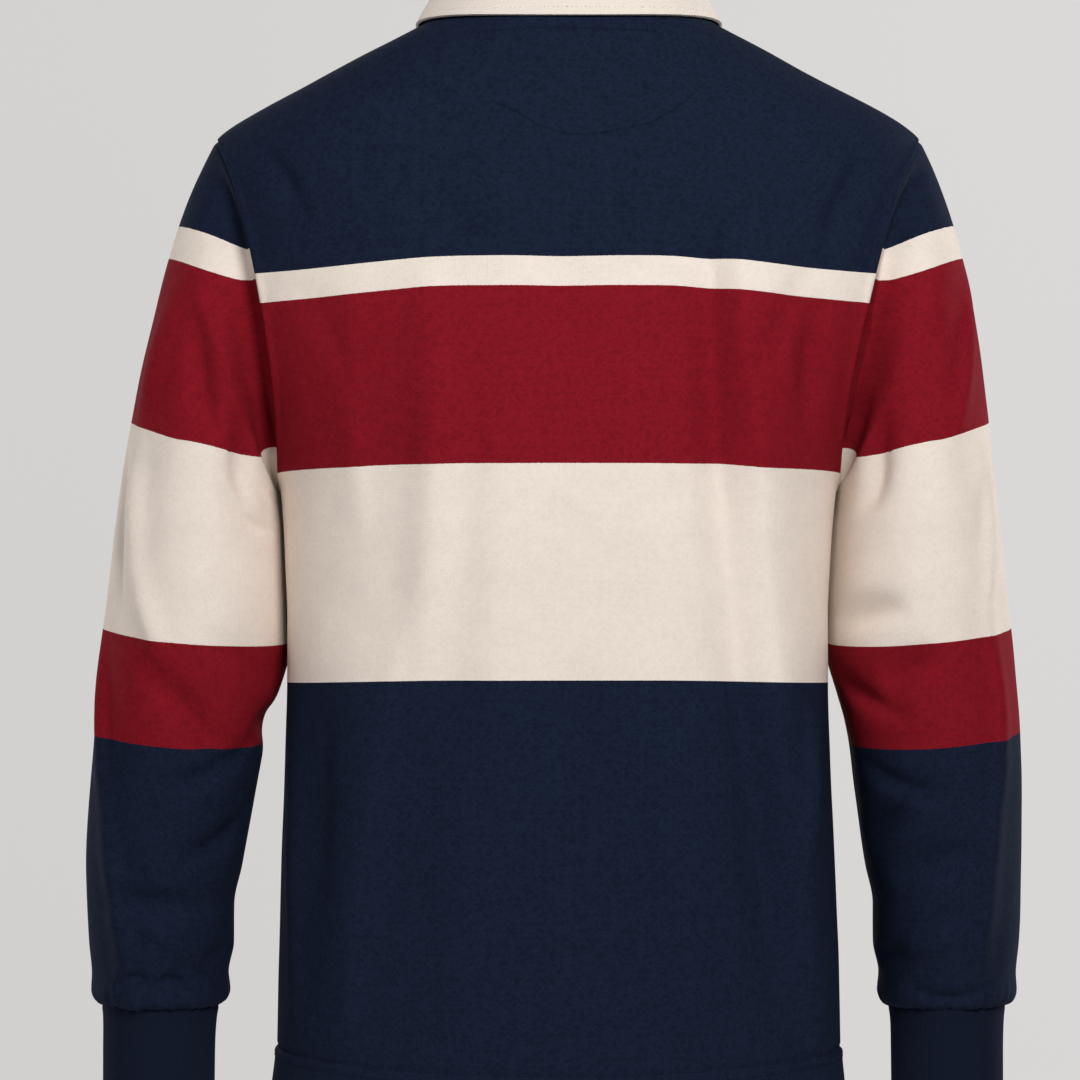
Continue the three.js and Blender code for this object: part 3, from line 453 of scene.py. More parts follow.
def apply_modifier(piece, kind, **settings):
    make_active(piece)
    modifier = piece.modifiers.new(kind.title(), kind)
    for name, value in settings.items():
        setattr(modifier, name, value)
    bpy.ops.object.modifier_apply(modifier=modifier.name)


# %% A sheet on a grid
def lay_sheet(name, points, outward, across, along, sewn=False):
    """A grid laid on points given in rows. sewn joins the first column to the last."""
    rows, columns = points.shape[:2]
    deselect()
    bpy.ops.mesh.primitive_grid_add(x_subdivisions=columns - 1, y_subdivisions=rows - 1, size=1)
    piece = bpy.context.object
    piece.name = piece.data.name = name
    mesh = piece.data
    mesh.vertices.foreach_set("co", (points * MM).ravel())
    corners = np.empty(len(mesh.loops), np.int32)
    mesh.loops.foreach_get("vertex_index", corners)
    places = np.stack(np.broadcast_arrays(across, along), axis=-1).reshape(-1, 2)[corners] * MM
    mesh.uv_layers[0].name = CLOTH_MAP
    mesh.uv_layers[CLOTH_MAP].uv.foreach_set("vector", places.ravel())
    mesh.update()
    inside_out = np.dot(mesh.polygons[0].normal, outward[0, 0]) < 0
    bpy.ops.object.mode_set(mode="EDIT")
    bpy.ops.mesh.select_all(action="SELECT")
    if sewn:
        bpy.ops.mesh.remove_doubles(threshold=0.02 * MM)
    if inside_out:
        bpy.ops.mesh.flip_normals()
    bpy.ops.object.mode_set(mode="OBJECT")
    return piece


def finish_sheet(piece, thickness, rounding=0.4, group=""):
    """Thickness inwards from the outer face, and rounded edges."""
    settings = {"vertex_group": group, "thickness_vertex_group": 0} if group else {}
    apply_modifier(
        piece, "SOLIDIFY", thickness=thickness * MM, offset=-1, use_even_offset=False, **settings
    )
    apply_modifier(
        piece, "BEVEL", width=rounding * MM, segments=2, limit_method="ANGLE", angle_limit=math.radians(65)
    )
    make_active(piece)
    bpy.ops.object.shade_smooth_by_angle(angle=math.radians(60))
    print(piece.name, "triangles", triangles(piece))


# %% [markdown]
# ## Finishes
# Jersey is knitted: fine columns of loops run up the cloth and rows run across it, and a heavy cotton
# yarn has a soft, uneven nap. The columns and rows are a bump pattern in metres, broken by noise, and
# the colour varies a little from loop to loop: at random, and with painted shade that follows the loops'
# relief. The bands are steps of colour along the map.

# %% Helpers for nodes
def new_material(name, roughness, sheen=0.0):
    material = bpy.data.materials.new(name)
    material.use_nodes = True
    shader = material.node_tree.nodes["Principled BSDF"]
    shader.inputs["Roughness"].default_value = roughness
    shader.inputs["Specular IOR Level"].default_value = 0.06
    shader.inputs["Sheen Weight"].default_value = sheen
    shader.inputs["Sheen Roughness"].default_value = 0.55
    return material, material.node_tree, shader


def node(tree, kind, inputs=None, **settings):
    made = tree.nodes.new(kind)
    for name, value in settings.items():
        setattr(made, name, value)
    for name, value in (inputs or {}).items():
        if isinstance(value, bpy.types.NodeSocket):
            tree.links.new(value, made.inputs[name])
        else:
            made.inputs[name].default_value = value
    return made


def calc(tree, operation, first, second=0.0, third=0.0):
    values = {0: first, 1: second, 2: third}
    return node(tree, "ShaderNodeMath", values, operation=operation).outputs[0]


def cloth_place(tree):
    """The piece's own map, in metres: across and along the knitting."""
    place = node(tree, "ShaderNodeUVMap", uv_map=CLOTH_MAP).outputs["UV"]
    parts = node(tree, "ShaderNodeSeparateXYZ", {"Vector": place})
    return place, parts.outputs["X"], parts.outputs["Y"]


def noise(tree, place, size, detail=2.0):
    """Noise from 0 to 1 whose features are about as large as the size, in millimetres."""
    settings = {"Vector": place, "Scale": 1 / (size * MM), "Detail": detail}
    return node(tree, "ShaderNodeTexNoise", settings).outputs["Fac"]


def ribs(tree, along, pitch):
    """A wave from 0 to 1 with one crest in each pitch, in millimetres."""
    angle = calc(tree, "MULTIPLY", along, 2 * math.pi / (pitch * MM))
    return calc(tree, "MULTIPLY_ADD", calc(tree, "SINE", angle), 0.5, 0.5)


def shade(tree, colour, light):
    """A colour made lighter or darker by a factor, the same in each of its parts."""
    scaled = node(tree, "ShaderNodeVectorMath", {0: colour, "Scale": light}, operation="SCALE")
    return scaled.outputs["Vector"]


# %% The colours of the bands, and their heights in millimetres
NAVY = (0.0079, 0.0128, 0.0298)
BURGUNDY = (0.200, 0.0068, 0.0138)
CREAM = (0.825, 0.728, 0.650)
BODY_BANDS = [(-720, NAVY), (-431.5, CREAM), (-294.7, BURGUNDY), (-181.5, CREAM), (-161.5, NAVY)]
SLEEVE_BANDS = [
    (-20, NAVY), (63, CREAM), (85, BURGUNDY), (194, CREAM), (329, BURGUNDY), (398, NAVY),
]
WALE, COURSE = 1.25, 0.95
BAND_SPAN = 800


# %% Jersey in bands
def band_colour(tree, place, along, bands):
    """Steps of colour along the knitting. A little noise frays the steps by a loop's width."""
    low = bands[0][0]
    frayed = calc(tree, "MULTIPLY_ADD", noise(tree, place, 1.2), 0.5 * MM, along)
    share = calc(tree, "MULTIPLY_ADD", frayed, 1 / (BAND_SPAN * MM), -low / BAND_SPAN)
    ramp = node(tree, "ShaderNodeValToRGB", {"Fac": share})
    ramp.color_ramp.interpolation = "CONSTANT"
    for _ in bands[2:]:
        ramp.color_ramp.elements.new(0.5)
    for element, (height, colour) in zip(ramp.color_ramp.elements, bands):
        element.position = max(0.0, (height - low) / BAND_SPAN)
        element.color = (*colour, 1)
    return ramp.outputs["Color"]


def knit_relief(tree, place, across, along):
    wobble = calc(tree, "MULTIPLY", noise(tree, place, 4), 0.9 * MM)
    columns = ribs(tree, calc(tree, "ADD", across, wobble), WALE)
    rows = ribs(tree, calc(tree, "ADD", along, wobble), COURSE)
    loops = calc(tree, "MULTIPLY_ADD", rows, 0.45, calc(tree, "MULTIPLY", columns, 0.75))
    nap = noise(tree, place, 0.9, detail=3)
    return calc(tree, "ADD", calc(tree, "MULTIPLY", loops, 0.55), nap)


MOTTLE_DARK, MOTTLE_FALL = 0.70, -0.68
CURL_SIZE, CURL_SHARPNESS, CURL_LIGHT = 5, -150.0, 0.42


def yarn_shade(tree, place, colour, relief):
    """Lighter and darker loops: tone that varies at random, and painted shade that follows the loops' relief.
    Dark yarn shows both far more than cream does.
    """
    red = node(tree, "ShaderNodeSeparateColor", {"Color": colour}).outputs["Red"]
    most = calc(tree, "MULTIPLY_ADD", calc(tree, "SQRT", red), MOTTLE_FALL, MOTTLE_DARK)
    swirl = calc(tree, "ABSOLUTE", calc(tree, "SUBTRACT", noise(tree, place, CURL_SIZE), 0.5))
    squared = calc(tree, "MULTIPLY", swirl, swirl)
    curls = calc(tree, "EXPONENT", calc(tree, "MULTIPLY", squared, CURL_SHARPNESS))
    curls = calc(tree, "MULTIPLY", curls, CURL_LIGHT)
    fine = calc(tree, "MULTIPLY_ADD", noise(tree, place, 1.5, detail=3), 1.1, -0.75)
    soft = calc(tree, "MULTIPLY_ADD", noise(tree, place, 7), 0.7, -0.4)
    # The relief's share of this is painted shade: loop tops lighter, the hollows between loops darker. The
    # noises are tone that varies at random.
    mottle_and_shade = calc(tree, "ADD", calc(tree, "ADD", curls, fine), calc(tree, "MULTIPLY_ADD", relief, 0.2, soft))
    patches = calc(tree, "MULTIPLY_ADD", noise(tree, place, 22), 0.1, 0.95)
    return calc(tree, "MULTIPLY", calc(tree, "MULTIPLY_ADD", mottle_and_shade, most, 1.0), patches)


def jersey(name, bands, line=None):
    material, tree, shader = new_material(name, roughness=0.95)
    place, across, along = cloth_place(tree)
    relief = knit_relief(tree, place, across, along)
    base = band_colour(tree, place, along, bands)
    light = yarn_shade(tree, place, base, relief)
    if line:
        away = node(tree, "ShaderNodeAttribute", attribute_name=line).outputs["Fac"]
        away = calc(tree, "DIVIDE", away, STITCH_LINE_WIDTH * MM)
        groove_and_shade = calc(tree, "EXPONENT", calc(tree, "MULTIPLY", calc(tree, "MULTIPLY", away, away), -1.0))
        relief = calc(tree, "MULTIPLY_ADD", groove_and_shade, -1.5, relief)
        # The colour is darkened along the stitch line: painted shade in the groove that the stitches pull
        # into the cloth.
        light = calc(tree, "MULTIPLY", light, calc(tree, "MULTIPLY_ADD", groove_and_shade, -0.2, 1.0))
    tree.links.new(shade(tree, base, light), shader.inputs["Base Color"])
    bumped = node(tree, "ShaderNodeBump", {"Height": relief, "Strength": 0.55, "Distance": 0.35 * MM})
    tree.links.new(bumped.outputs["Normal"], shader.inputs["Normal"])
    return material


STITCH_LINE = "stitch_line"
STITCH_LINE_WIDTH = 0.9
back_jersey = jersey("banded jersey of the back", BODY_BANDS, line=STITCH_LINE)
body_jersey = jersey("banded jersey of the front", BODY_BANDS)
sleeve_jersey = jersey("banded jersey of the sleeves", SLEEVE_BANDS)


# %% Twill, rib, thread and button
def twill(name, colour):
    material, tree, shader = new_material(name, roughness=0.9)
    place, across, along = cloth_place(tree)
    wales = ribs(tree, calc(tree, "ADD", across, calc(tree, "MULTIPLY", along, 1.2)), 0.9)
    relief = calc(tree, "MULTIPLY_ADD", noise(tree, place, 0.8), 0.7, wales)
    light = calc(tree, "MULTIPLY_ADD", noise(tree, place, 2.2), 0.1, 0.95)
    # The wales make the colour a little lighter and darker: painted shade that follows the twill's relief.
    light = calc(tree, "MULTIPLY", light, calc(tree, "MULTIPLY_ADD", wales, 0.05, 0.96))
    tree.links.new(shade(tree, colour, light), shader.inputs["Base Color"])
    bumped = node(tree, "ShaderNodeBump", {"Height": relief, "Strength": 0.4, "Distance": 0.2 * MM})
    tree.links.new(bumped.outputs["Normal"], shader.inputs["Normal"])
    return material


def rib_knit(name, colour):
    material, tree, shader = new_material(name, roughness=0.95)
    place, across, along = cloth_place(tree)
    relief = calc(tree, "MULTIPLY_ADD", ribs(tree, along, COURSE), 0.4, noise(tree, place, 0.9, detail=3))
    light = calc(tree, "MULTIPLY_ADD", noise(tree, place, 1.7, detail=3), 0.36, 0.8)
    tree.links.new(shade(tree, colour, light), shader.inputs["Base Color"])
    bumped = node(tree, "ShaderNodeBump", {"Height": relief, "Strength": 0.5, "Distance": 0.3 * MM})
    tree.links.new(bumped.outputs["Normal"], shader.inputs["Normal"])
    return material


def thread(name, colour):
    material, tree, shader = new_material(name, roughness=0.7)
    place = node(tree, "ShaderNodeTexCoord").outputs["Object"]
    light = calc(tree, "MULTIPLY_ADD", noise(tree, place, 0.6), 0.4, 0.8)
    tree.links.new(shade(tree, colour, light), shader.inputs["Base Color"])
    return material


def horn_plastic(name, colour):
    material, tree, shader = new_material(name, roughness=0.32)
    shader.inputs["Specular IOR Level"].default_value = 0.5
    place = node(tree, "ShaderNodeTexCoord").outputs["Object"]
    veins = node(tree, "ShaderNodeTexNoise", {"Vector": place, "Scale": 160, "Detail": 4, "Distortion": 1.5})
    light = calc(tree, "MULTIPLY_ADD", veins.outputs["Fac"], 0.35, 0.8)
    tree.links.new(shade(tree, colour, light), shader.inputs["Base Color"])
    return material


collar_twill = twill("cream twill", (0.83, 0.74, 0.665))
cuff_rib = rib_knit("navy rib", (0.0078, 0.0118, 0.0265))
navy_thread = thread("navy thread", (0.006, 0.009, 0.021))
cream_thread = thread("cream thread", (0.80, 0.70, 0.61))
button_horn = horn_plastic("cream button", (0.74, 0.67, 0.56))


# %% [markdown]
# ## What each piece says
# Every cloth piece rides on the shirt's one body, takes the place of its plain solid, which is hidden,
# takes its finish and prints the flat size that it was cut to. The cut is measured on one face of the
# finished cloth, whose area is printed beside it.

# %% Finishing and attaching a cloth piece
def cloth_area(piece):
    """Half of the closed wall's area, in square metres: one face of the cloth."""
    return sum(face.area for face in piece.data.polygons) / 2


def declare_cloth(piece, node_names, material, flat):
    piece.data.materials.clear()
    piece.data.materials.append(material)
    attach(piece, "root")
    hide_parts(*node_names)
    print(piece.name, "one face", round(cloth_area(piece), 4), "m2, cut", flat)


# %% [markdown]
# ## Back and front
# Each is one panel from the hem to the shoulder seams. The rows and the edges are shared with the
# sleeves and the collar, so the seams meet. The columns crowd together at the edges, where the seams
# need them. The front's cells over the placket's opening are deleted.

# %% The columns of a panel
HALF_CELLS = 72
EDGE_STEPS = np.array([5.4, 3.6, 2.2, 1.1, 0])


def panel_shares(side, level):
    inner = share_at(side, PLACKET_HALF, level) if side < 0 else 0
    gap = SEAM_GAP / 2 / row_reach(side, level)
    edge = 1 - gap - EDGE_STEPS / row_reach(side, level)
    start = inner + (edge[0] - inner) * np.arange(HALF_CELLS) / HALF_CELLS
    half = np.concatenate([start, edge])
    if side > 0:
        return np.concatenate([-half[:0:-1], half])
    placket = inner * np.linspace(-1, 1, 9)[1:-1]
    return np.concatenate([-half[::-1], placket, half])


def hem_group(piece, rows, columns):
    """The turned-up hem is thicker than the rest, on the inside."""
    group = piece.vertex_groups.new(name="thick")
    thick = [int(i) for i in np.arange(rows * columns) if LEVELS[i // columns] < HEM_TOP]
    group.add(list(range(len(piece.data.vertices))), JERSEY / HEM_CLOTH, "REPLACE")
    group.add(thick, 1.0, "REPLACE")
    return group.name


def lay_panel(name, side):
    shares = np.array([panel_shares(side, level) for level in LEVELS])
    levels = np.repeat(LEVELS[:, None], shares.shape[1], axis=1)
    points, outward = panel(side, shares, levels)
    edge = panel_edge(side, levels)
    x = edge * np.sin(shares * panel_turn(side, levels)) / np.sin(panel_turn(side, levels))
    z = row_height(side, levels, x / edge)
    piece = lay_sheet(name, points, outward, shares * row_reach(side, levels), z + band_dip(x, z))
    return piece, shares, x, z


# %% The half-moon and neck stitch lines, as heights above or below them
HALF_MOON = measures("x z", [
    (50.5, -60.5), (35.4, -67.4), (15, -78.7), (-7.6, -83.1), (-29, -80), (-51.5, -75), (-67, -65.7),
    (-88, -46.5),
])
NECK_LINE_Z = -10.5
NECK_LINE_HALF = 58


def stitch_line_distance(x, z):
    moon = z - column(HALF_MOON, "z", x)
    beyond = np.maximum(HALF_MOON["x"][0] - x, x - HALF_MOON["x"][-1])
    moon = np.where(beyond > 0, np.hypot(moon, beyond), moon)
    neck = z - NECK_LINE_Z + 0.0006 * x**2
    neck = np.where(np.abs(x) > NECK_LINE_HALF, np.hypot(neck, np.abs(x) - NECK_LINE_HALF), neck)
    return np.where(np.abs(moon) < np.abs(neck), moon, neck)


# %% The back
back, shares, x, z = lay_panel("back_jersey", BACK)
line = back.data.attributes.new(STITCH_LINE, "FLOAT", "POINT")
line.data.foreach_set("value", (stitch_line_distance(x, z) * MM).astype(np.float32).ravel())
finish_sheet(back, HEM_CLOTH, group=hem_group(back, *shares.shape))
declare_cloth(back, ["back"], back_jersey, flat=(0.60, 0.73))

# %% The front, open over the placket
front, shares, x, z = lay_panel("front_jersey", FRONT)
columns = shares.shape[1]
group = hem_group(front, *shares.shape)
middle = columns // 2
opening = []
for face in front.data.polygons:
    first = min(face.vertices)
    row, along_row = divmod(first, columns)
    opening.append(row >= FOOT_ROW and abs(along_row + 0.5 - middle) < 4.5)
make_active(front)
bpy.ops.object.mode_set(mode="EDIT")
bpy.ops.mesh.select_mode(type="FACE")
bpy.ops.mesh.select_all(action="DESELECT")
bpy.ops.object.mode_set(mode="OBJECT")
front.data.polygons.foreach_set("select", opening)
bpy.ops.object.mode_set(mode="EDIT")
bpy.ops.mesh.delete(type="FACE")
bpy.ops.object.mode_set(mode="OBJECT")
print("cells cut out for the placket:", sum(opening))
finish_sheet(front, HEM_CLOTH, group=group)
declare_cloth(front, ["front"], body_jersey, flat=(0.60, 0.70))

# %% [markdown]
# ## Sleeves
# A sleeve is a tube that starts on the armhole's own edge, bends at the elbow and is gathered into
# the cuff. Its one seam runs under the arm, where the grid's first and last columns are sewn
# together. Its bands are knitted across the flat sleeve, so on the cap they follow the cut.

# %% A sleeve's rings
def oval(rings, length, turn):
    value = {name: column(rings, name, length) for name in rings}
    reach_x = (value["out_x"] - value["in_x"]) / 2
    reach_z = (value["out_z"] - value["in_z"]) / 2
    return np.stack(np.broadcast_arrays(
        (value["out_x"] + value["in_x"]) / 2 + reach_x * np.cos(turn),
        value["mid_y"] + value["deep"] * np.sin(turn),
        (value["out_z"] + value["in_z"]) / 2 + reach_z * np.cos(turn) - value["sag"] * np.sin(turn),
    ), axis=-1)


def armhole_loop():
    """The armhole's edge from the shoulder down the back, under the arm and up the front."""
    rows = LEVELS[UNDERARM_ROW:SHOULDER_ROW + 1]
    behind = body_surface(BACK, panel_edge(BACK, rows), rows)
    before = body_surface(FRONT, panel_edge(FRONT, rows), rows)
    facing = [surface_normal(BACK, behind), surface_normal(FRONT, before)]
    loop = np.concatenate([behind[::-1], before[1:-1]])
    return loop, np.concatenate([facing[0][::-1], facing[1][1:-1]])


def ring_normals(points, side):
    """Outward directions on rings whose last point repeats the first."""
    ring = points[:, :-1]
    round_it = np.roll(ring, -1, axis=1) - np.roll(ring, 1, axis=1)
    down_it = np.gradient(ring, axis=0)
    facing = unit(np.cross(down_it, round_it)) * side
    return np.concatenate([facing, facing[:, :1]], axis=1)


# %% How the underarm side lies against the body
UNDERARM_FORWARD = 25
UNDERARM_CLOSER = 2.2


def lie_against_body(points, turn, length):
    """The underarm side swings forward, past the body's side, and lies closer to it there."""
    beside = bump(np.degrees(turn) % 360 - 180, 42)
    share = beside * ease(0, 60, length) * (1 - ease(335, 385, length))
    moved = points.copy()
    moved[..., 0] -= UNDERARM_CLOSER * share
    moved[..., 1] -= UNDERARM_FORWARD * share
    return moved


# %% A sleeve's folds and gathers
SLEEVE_TUCK = 1.5
HOLLOW = {"behind": 17, "before": 8}
HOLLOW_DROP, HOLLOW_END = 11, 82
GATHERS = 34
GATHER_DEPTH = 0.9


def sleeve_relief(name, turn, length, seed):
    girth = column(SLEEVE_RINGS, "deep", length)
    per_degree = math.pi / 180 * girth
    degrees = np.degrees(turn) % 360
    height = sum(fold_height_round(degrees, length, fold, per_degree) for fold in FOLDS[name])
    height = FOLD_SCALE * height * ease(0, 40, length)
    wavy = unevenness(np.sin(turn) * girth, length, seed, most=0.35)
    height = height + wavy * ease(0, 30, length)
    random = np.random.default_rng(seed)
    phases = random.uniform(0, 2 * math.pi, 3)
    pleats = sum(
        np.sin(turn * count + phase) * part
        for count, phase, part in zip((GATHERS, GATHERS // 2 + 4, GATHERS // 3), phases, (0.45, 0.35, 0.2))
    )
    gathered = ease(SLEEVE_END - 30, SLEEVE_END - 3, length)
    seam = -0.8 * bump((degrees - 180) * per_degree, 2.2) * ease(4, 20, length)
    behind = ease(10, 80, degrees) * (1 - ease(125, 174, degrees))
    before = ease(186, 200, degrees) * (1 - ease(280, 350, degrees))
    drop = ease(0, HOLLOW_DROP, length) * (1 - ease(HOLLOW_DROP, HOLLOW_END, length))
    hollow = -(HOLLOW["behind"] * behind + HOLLOW["before"] * before) * drop
    return height + hollow + GATHER_DEPTH * gathered * pleats + seam - SLEEVE_TUCK * bump(length, 2.6)


# %% Laying a sleeve
SLEEVE_CELLS = 166
top_rings = [0.3, 1.1, 2.2, 3.6, 5.4]
end_rings = list(np.arange(SLEEVE_END - 30, SLEEVE_END + 0.1, 1.5))
LENGTHS = np.array(top_rings + list(np.linspace(5.4, end_rings[0], SLEEVE_CELLS)[1:-1]) + end_rings)


def hang(points, side):
    placed = points.copy()
    placed[..., 0] = placed[..., 0] * side + lean(placed[..., 2])
    placed[..., 0] += SWING[side] * (1 - ease(SWING_TO, SWING_FROM, placed[..., 2]))
    return placed


def lay_sleeve(name, side):
    loop, facing = armhole_loop()
    count = len(loop)
    steps = np.arange(-count // 2, count // 2 + 1)
    loop, facing = loop[steps % count], facing[steps % count]
    turn = 2 * math.pi * steps[None, :] / count
    length = LENGTHS[:, None]
    left = np.maximum(0, 1 - length / CAP_LENGTH) ** 2
    base = oval(SLEEVE_RINGS, length, turn) + (loop - oval(SLEEVE_RINGS, 0.0, turn)) * left[..., None]
    base = lie_against_body(base, turn, length)
    outward = ring_normals(base, LEFT)
    if np.dot(outward[80, count // 2], (1, 0, 0)) < 0:
        outward = -outward
    near = (1 - ease(0, 7, length))[..., None]
    outward = unit(outward * (1 - near) + facing[None] * near)
    relief = sleeve_relief("left" if side > 0 else "right", turn, length, seed=11 + side)
    points = hang(base + outward * (relief + JERSEY / 2)[..., None], side)
    outward = outward * (side, 1, 1)
    edge_height = column(EDGE_HEIGHTS, "height", loop[None, :, 2])
    along = np.where(length < CAP_LENGTH, edge_height * (1 - length / CAP_LENGTH) + length, length)
    across = turn * column(SLEEVE_RINGS, "deep", length) * 0.95
    return lay_sheet(name, points, outward, across, along, sewn=True)


# %% Both sleeves
for side, word in ((LEFT, "left"), (RIGHT, "right")):
    sleeve = lay_sleeve(f"sleeve_{word}_jersey", side)
    finish_sheet(sleeve, JERSEY)
    solids = [f"sleeve_cap_{word}", f"sleeve_{word}"]
    declare_cloth(sleeve, solids, sleeve_jersey, flat=(0.46, 0.60))

# %% [markdown]
# ## Cuffs
# A cuff is a tube of rib, knitted one loop out and one loop in, which draws the sleeve's end
# together. The ribs are real relief, fine enough that they only show up close. Its lower edge is a
# fold, so it is round.

# %% Laying a cuff
CUFF_RIBS = 92
RIB_RELIEF = 0.17
CUFF_STEPS = [0.3, 1, 2, 3.4, 5, 7.5, 11, 15, 20, 26, 32, 38, 44, 50, 55, 59, 62, 64, 65.3, 66]


def lay_cuff(name, side):
    turn = np.linspace(-math.pi, math.pi, CUFF_RIBS * 4 + 1)[None, :]
    length = np.array(CUFF_STEPS)[:, None]
    base = oval(CUFF_RINGS, length, turn)
    outward = ring_normals(base, LEFT)
    if np.dot(outward[5, CUFF_RIBS * 2], (1, 0, 0)) < 0:
        outward = -outward
    knit = RIB_RELIEF * np.sin(turn * CUFF_RIBS)
    sewn_in = -1.0 * bump(length, 1.6) - 0.7 * ease(CUFF_LENGTH - 2, CUFF_LENGTH, length)
    soft = 0.5 * np.sin(3 * turn + side) * ease(0, 30, length)
    points = hang(base + outward * (knit + sewn_in + soft + RIB / 2)[..., None], side)
    across = turn * column(CUFF_RINGS, "deep", length)
    return lay_sheet(name, points, outward * (side, 1, 1), across, length + 0 * turn, sewn=True)


for side, word in ((LEFT, "left"), (RIGHT, "right")):
    cuff = lay_cuff(f"cuff_{word}_rib", side)
    finish_sheet(cuff, RIB, rounding=0.6)
    declare_cloth(cuff, [f"cuff_{word}"], cuff_rib, flat=(0.27, 0.068))

# %% [markdown]
# ## Collar
# The collar is one folded piece of twill: a stand that rises from the neck seam, and a fall that
# turns over it and ends in two points at the front. Each column of its grid runs from the seam up the
# stand, round the fold and down the fall.

# %% The collar's fold and edge
COLLAR_FOLD = {"side_x": 75.5, "back_y": 59, "front_y": 71, "side_z": 39, "back_z": 44, "front_z": -38}
COLLAR_EDGE = {
    "side_z": -0.3, "back_z": -3.4, "point_x": 42, "point_z": -92, "clear": 3.2, "point_clear": 5.5,
}
COLLAR_BULGE = 1.5
COLLAR_END = 2
FOLD_RADIUS = 1.9


def collar_fold(share):
    """Where the collar folds over, by the share from the centre back (0) to the centre front (1)."""
    turn = share * math.pi
    behind = share <= 0.5
    reach = COLLAR_FOLD["side_x"] * np.sin(turn)
    before = COLLAR_END + (COLLAR_FOLD["side_x"] - COLLAR_END) * np.sin(turn)
    y = np.where(behind, COLLAR_FOLD["back_y"], COLLAR_FOLD["front_y"]) * np.cos(turn)
    high = COLLAR_FOLD["side_z"] + (COLLAR_FOLD["back_z"] - COLLAR_FOLD["side_z"]) * np.cos(turn) ** 2
    ahead = np.maximum(0, share - 0.5) * 2
    low = COLLAR_FOLD["side_z"] + (COLLAR_FOLD["front_z"] - COLLAR_FOLD["side_z"]) * ahead**1.35
    return np.stack([np.where(behind, reach, before), y, np.where(behind, high, low)], axis=-1)


def collar_edge(share):
    """The edge lies on the body, a set distance off it."""
    turn = share * math.pi
    ahead = np.maximum(0, share - 0.5) * 2
    behind = np.maximum(0, np.cos(turn)) ** 2
    side_z = COLLAR_EDGE["side_z"]
    z = side_z + (COLLAR_EDGE["back_z"] - side_z) * behind
    z = np.where(ahead > 0, side_z + (COLLAR_EDGE["point_z"] - side_z) * ahead, z)
    widest = column(BODY_OVALS, "half", side_z)
    x = column(BODY_OVALS, "half", z) * np.sin(turn)
    x = np.where(ahead > 0, widest + (COLLAR_EDGE["point_x"] - widest) * ahead**1.7, x)
    clear = COLLAR_EDGE["clear"] + (COLLAR_EDGE["point_clear"] - COLLAR_EDGE["clear"]) * ahead
    points = np.empty((*share.shape, 3))
    for side, chosen in ((BACK, share <= 0.5), (FRONT, share > 0.5)):
        lying = body_surface(side, x[chosen], z[chosen])
        lying += surface_normal(side, lying) * clear[chosen][:, None]
        points[chosen] = lying
    return points


# %% Laying the collar
STAND_CELLS, ARC_CELLS, FALL_CELLS = 14, 8, 24
COLLAR_COLUMNS = 190


def collar_seam(share):
    """The neck edge at a signed share: the back panel's top row, then the front's."""
    size = np.abs(share)
    points = np.empty((len(share), 3))
    behind = size <= 0.5
    points[behind] = panel(BACK, 2 * share[behind], NECK_Z, out=0)[0]
    points[~behind] = panel(FRONT, 2 * (1 - size[~behind]) * np.sign(share[~behind]), NECK_Z, out=0)[0]
    return points


def collar_frame(share):
    size = np.abs(share)
    mirror = np.stack([np.where(share < 0, -1, 1), np.ones(len(share)), np.ones(len(share))], axis=-1)
    fold, edge = collar_fold(size) * mirror, collar_edge(size) * mirror
    outward = edge - fold
    outward[:, 2] = 0
    return fold, edge, unit(outward)


def collar_fall(share, t):
    """Points down the fall, from the fold (t = 0) to the edge (t = 1)."""
    fold, edge, outward = collar_frame(share)
    start = fold + outward * FOLD_RADIUS - (0, 0, FOLD_RADIUS)
    t = np.asarray(t)[..., None]
    place = start + (edge - start) * t
    return place + outward * COLLAR_BULGE * np.sin(math.pi * t)


end_share = 1 - math.asin(COLLAR_END / BODY_OVALS["half"][-1]) / math.pi
shares = np.linspace(-end_share, end_share, COLLAR_COLUMNS + 1)
seam = collar_seam(shares)
fold, _, outward = collar_frame(shares)
bend = fold - (0, 0, FOLD_RADIUS)
near = fold - outward * FOLD_RADIUS - (0, 0, FOLD_RADIUS)
stand = [seam + (near - seam) * t for t in np.linspace(0.008, 1, STAND_CELLS)]
arc = [
    bend - outward * FOLD_RADIUS * math.cos(a) + np.array((0, 0, FOLD_RADIUS)) * math.sin(a)
    for a in np.linspace(0, math.pi, ARC_CELLS + 1)[1:-1]
]
fall = [collar_fall(shares, np.full(len(shares), t)) for t in np.linspace(0, 1, FALL_CELLS)]
grid = np.array(stand + arc + fall)
steps = np.linalg.norm(np.diff(grid, axis=0), axis=-1)
down = np.concatenate([np.zeros((1, len(shares))), np.cumsum(steps, axis=0)])
facing = unit(np.cross(np.gradient(grid, axis=1), np.gradient(grid, axis=0)))
if facing[-5, COLLAR_COLUMNS // 2, 1] < 0:
    facing = -facing
across = shares[None, :] * 250 + 0 * down
collar = lay_sheet("collar_twill", grid + facing * TWILL / 2, facing, across, down)
finish_sheet(collar, TWILL, rounding=0.5)
declare_cloth(collar, ["collar"], collar_twill, flat=(0.52, 0.115))

# %% [markdown]
# ## Placket and buttons
# The placket is two strips of twill in the front's slit, one on top of the other, buttoned through.
# They follow the front's own rows. The buttons are the frame's own solids, which keep their shape and
# get a finish, and each is sewn on with four short stitches.

# %% The two strips
STRIPS = {
    "placket_upper": {"half": PLACKET_HALF - SEAM_GAP, "out": 0.5, "thick": 1.8, "below": 1.2},
    "placket_under": {"half": PLACKET_HALF - 2.5, "out": -1.6, "thick": 1.6, "below": 1.6},
}
STRIP_ROWS = 64


def strip_place(across, level, out):
    """A point of the placket, a distance from the middle, and the way it faces."""
    share = share_at(FRONT, across, level)
    return panel(FRONT, share, level, out=out)


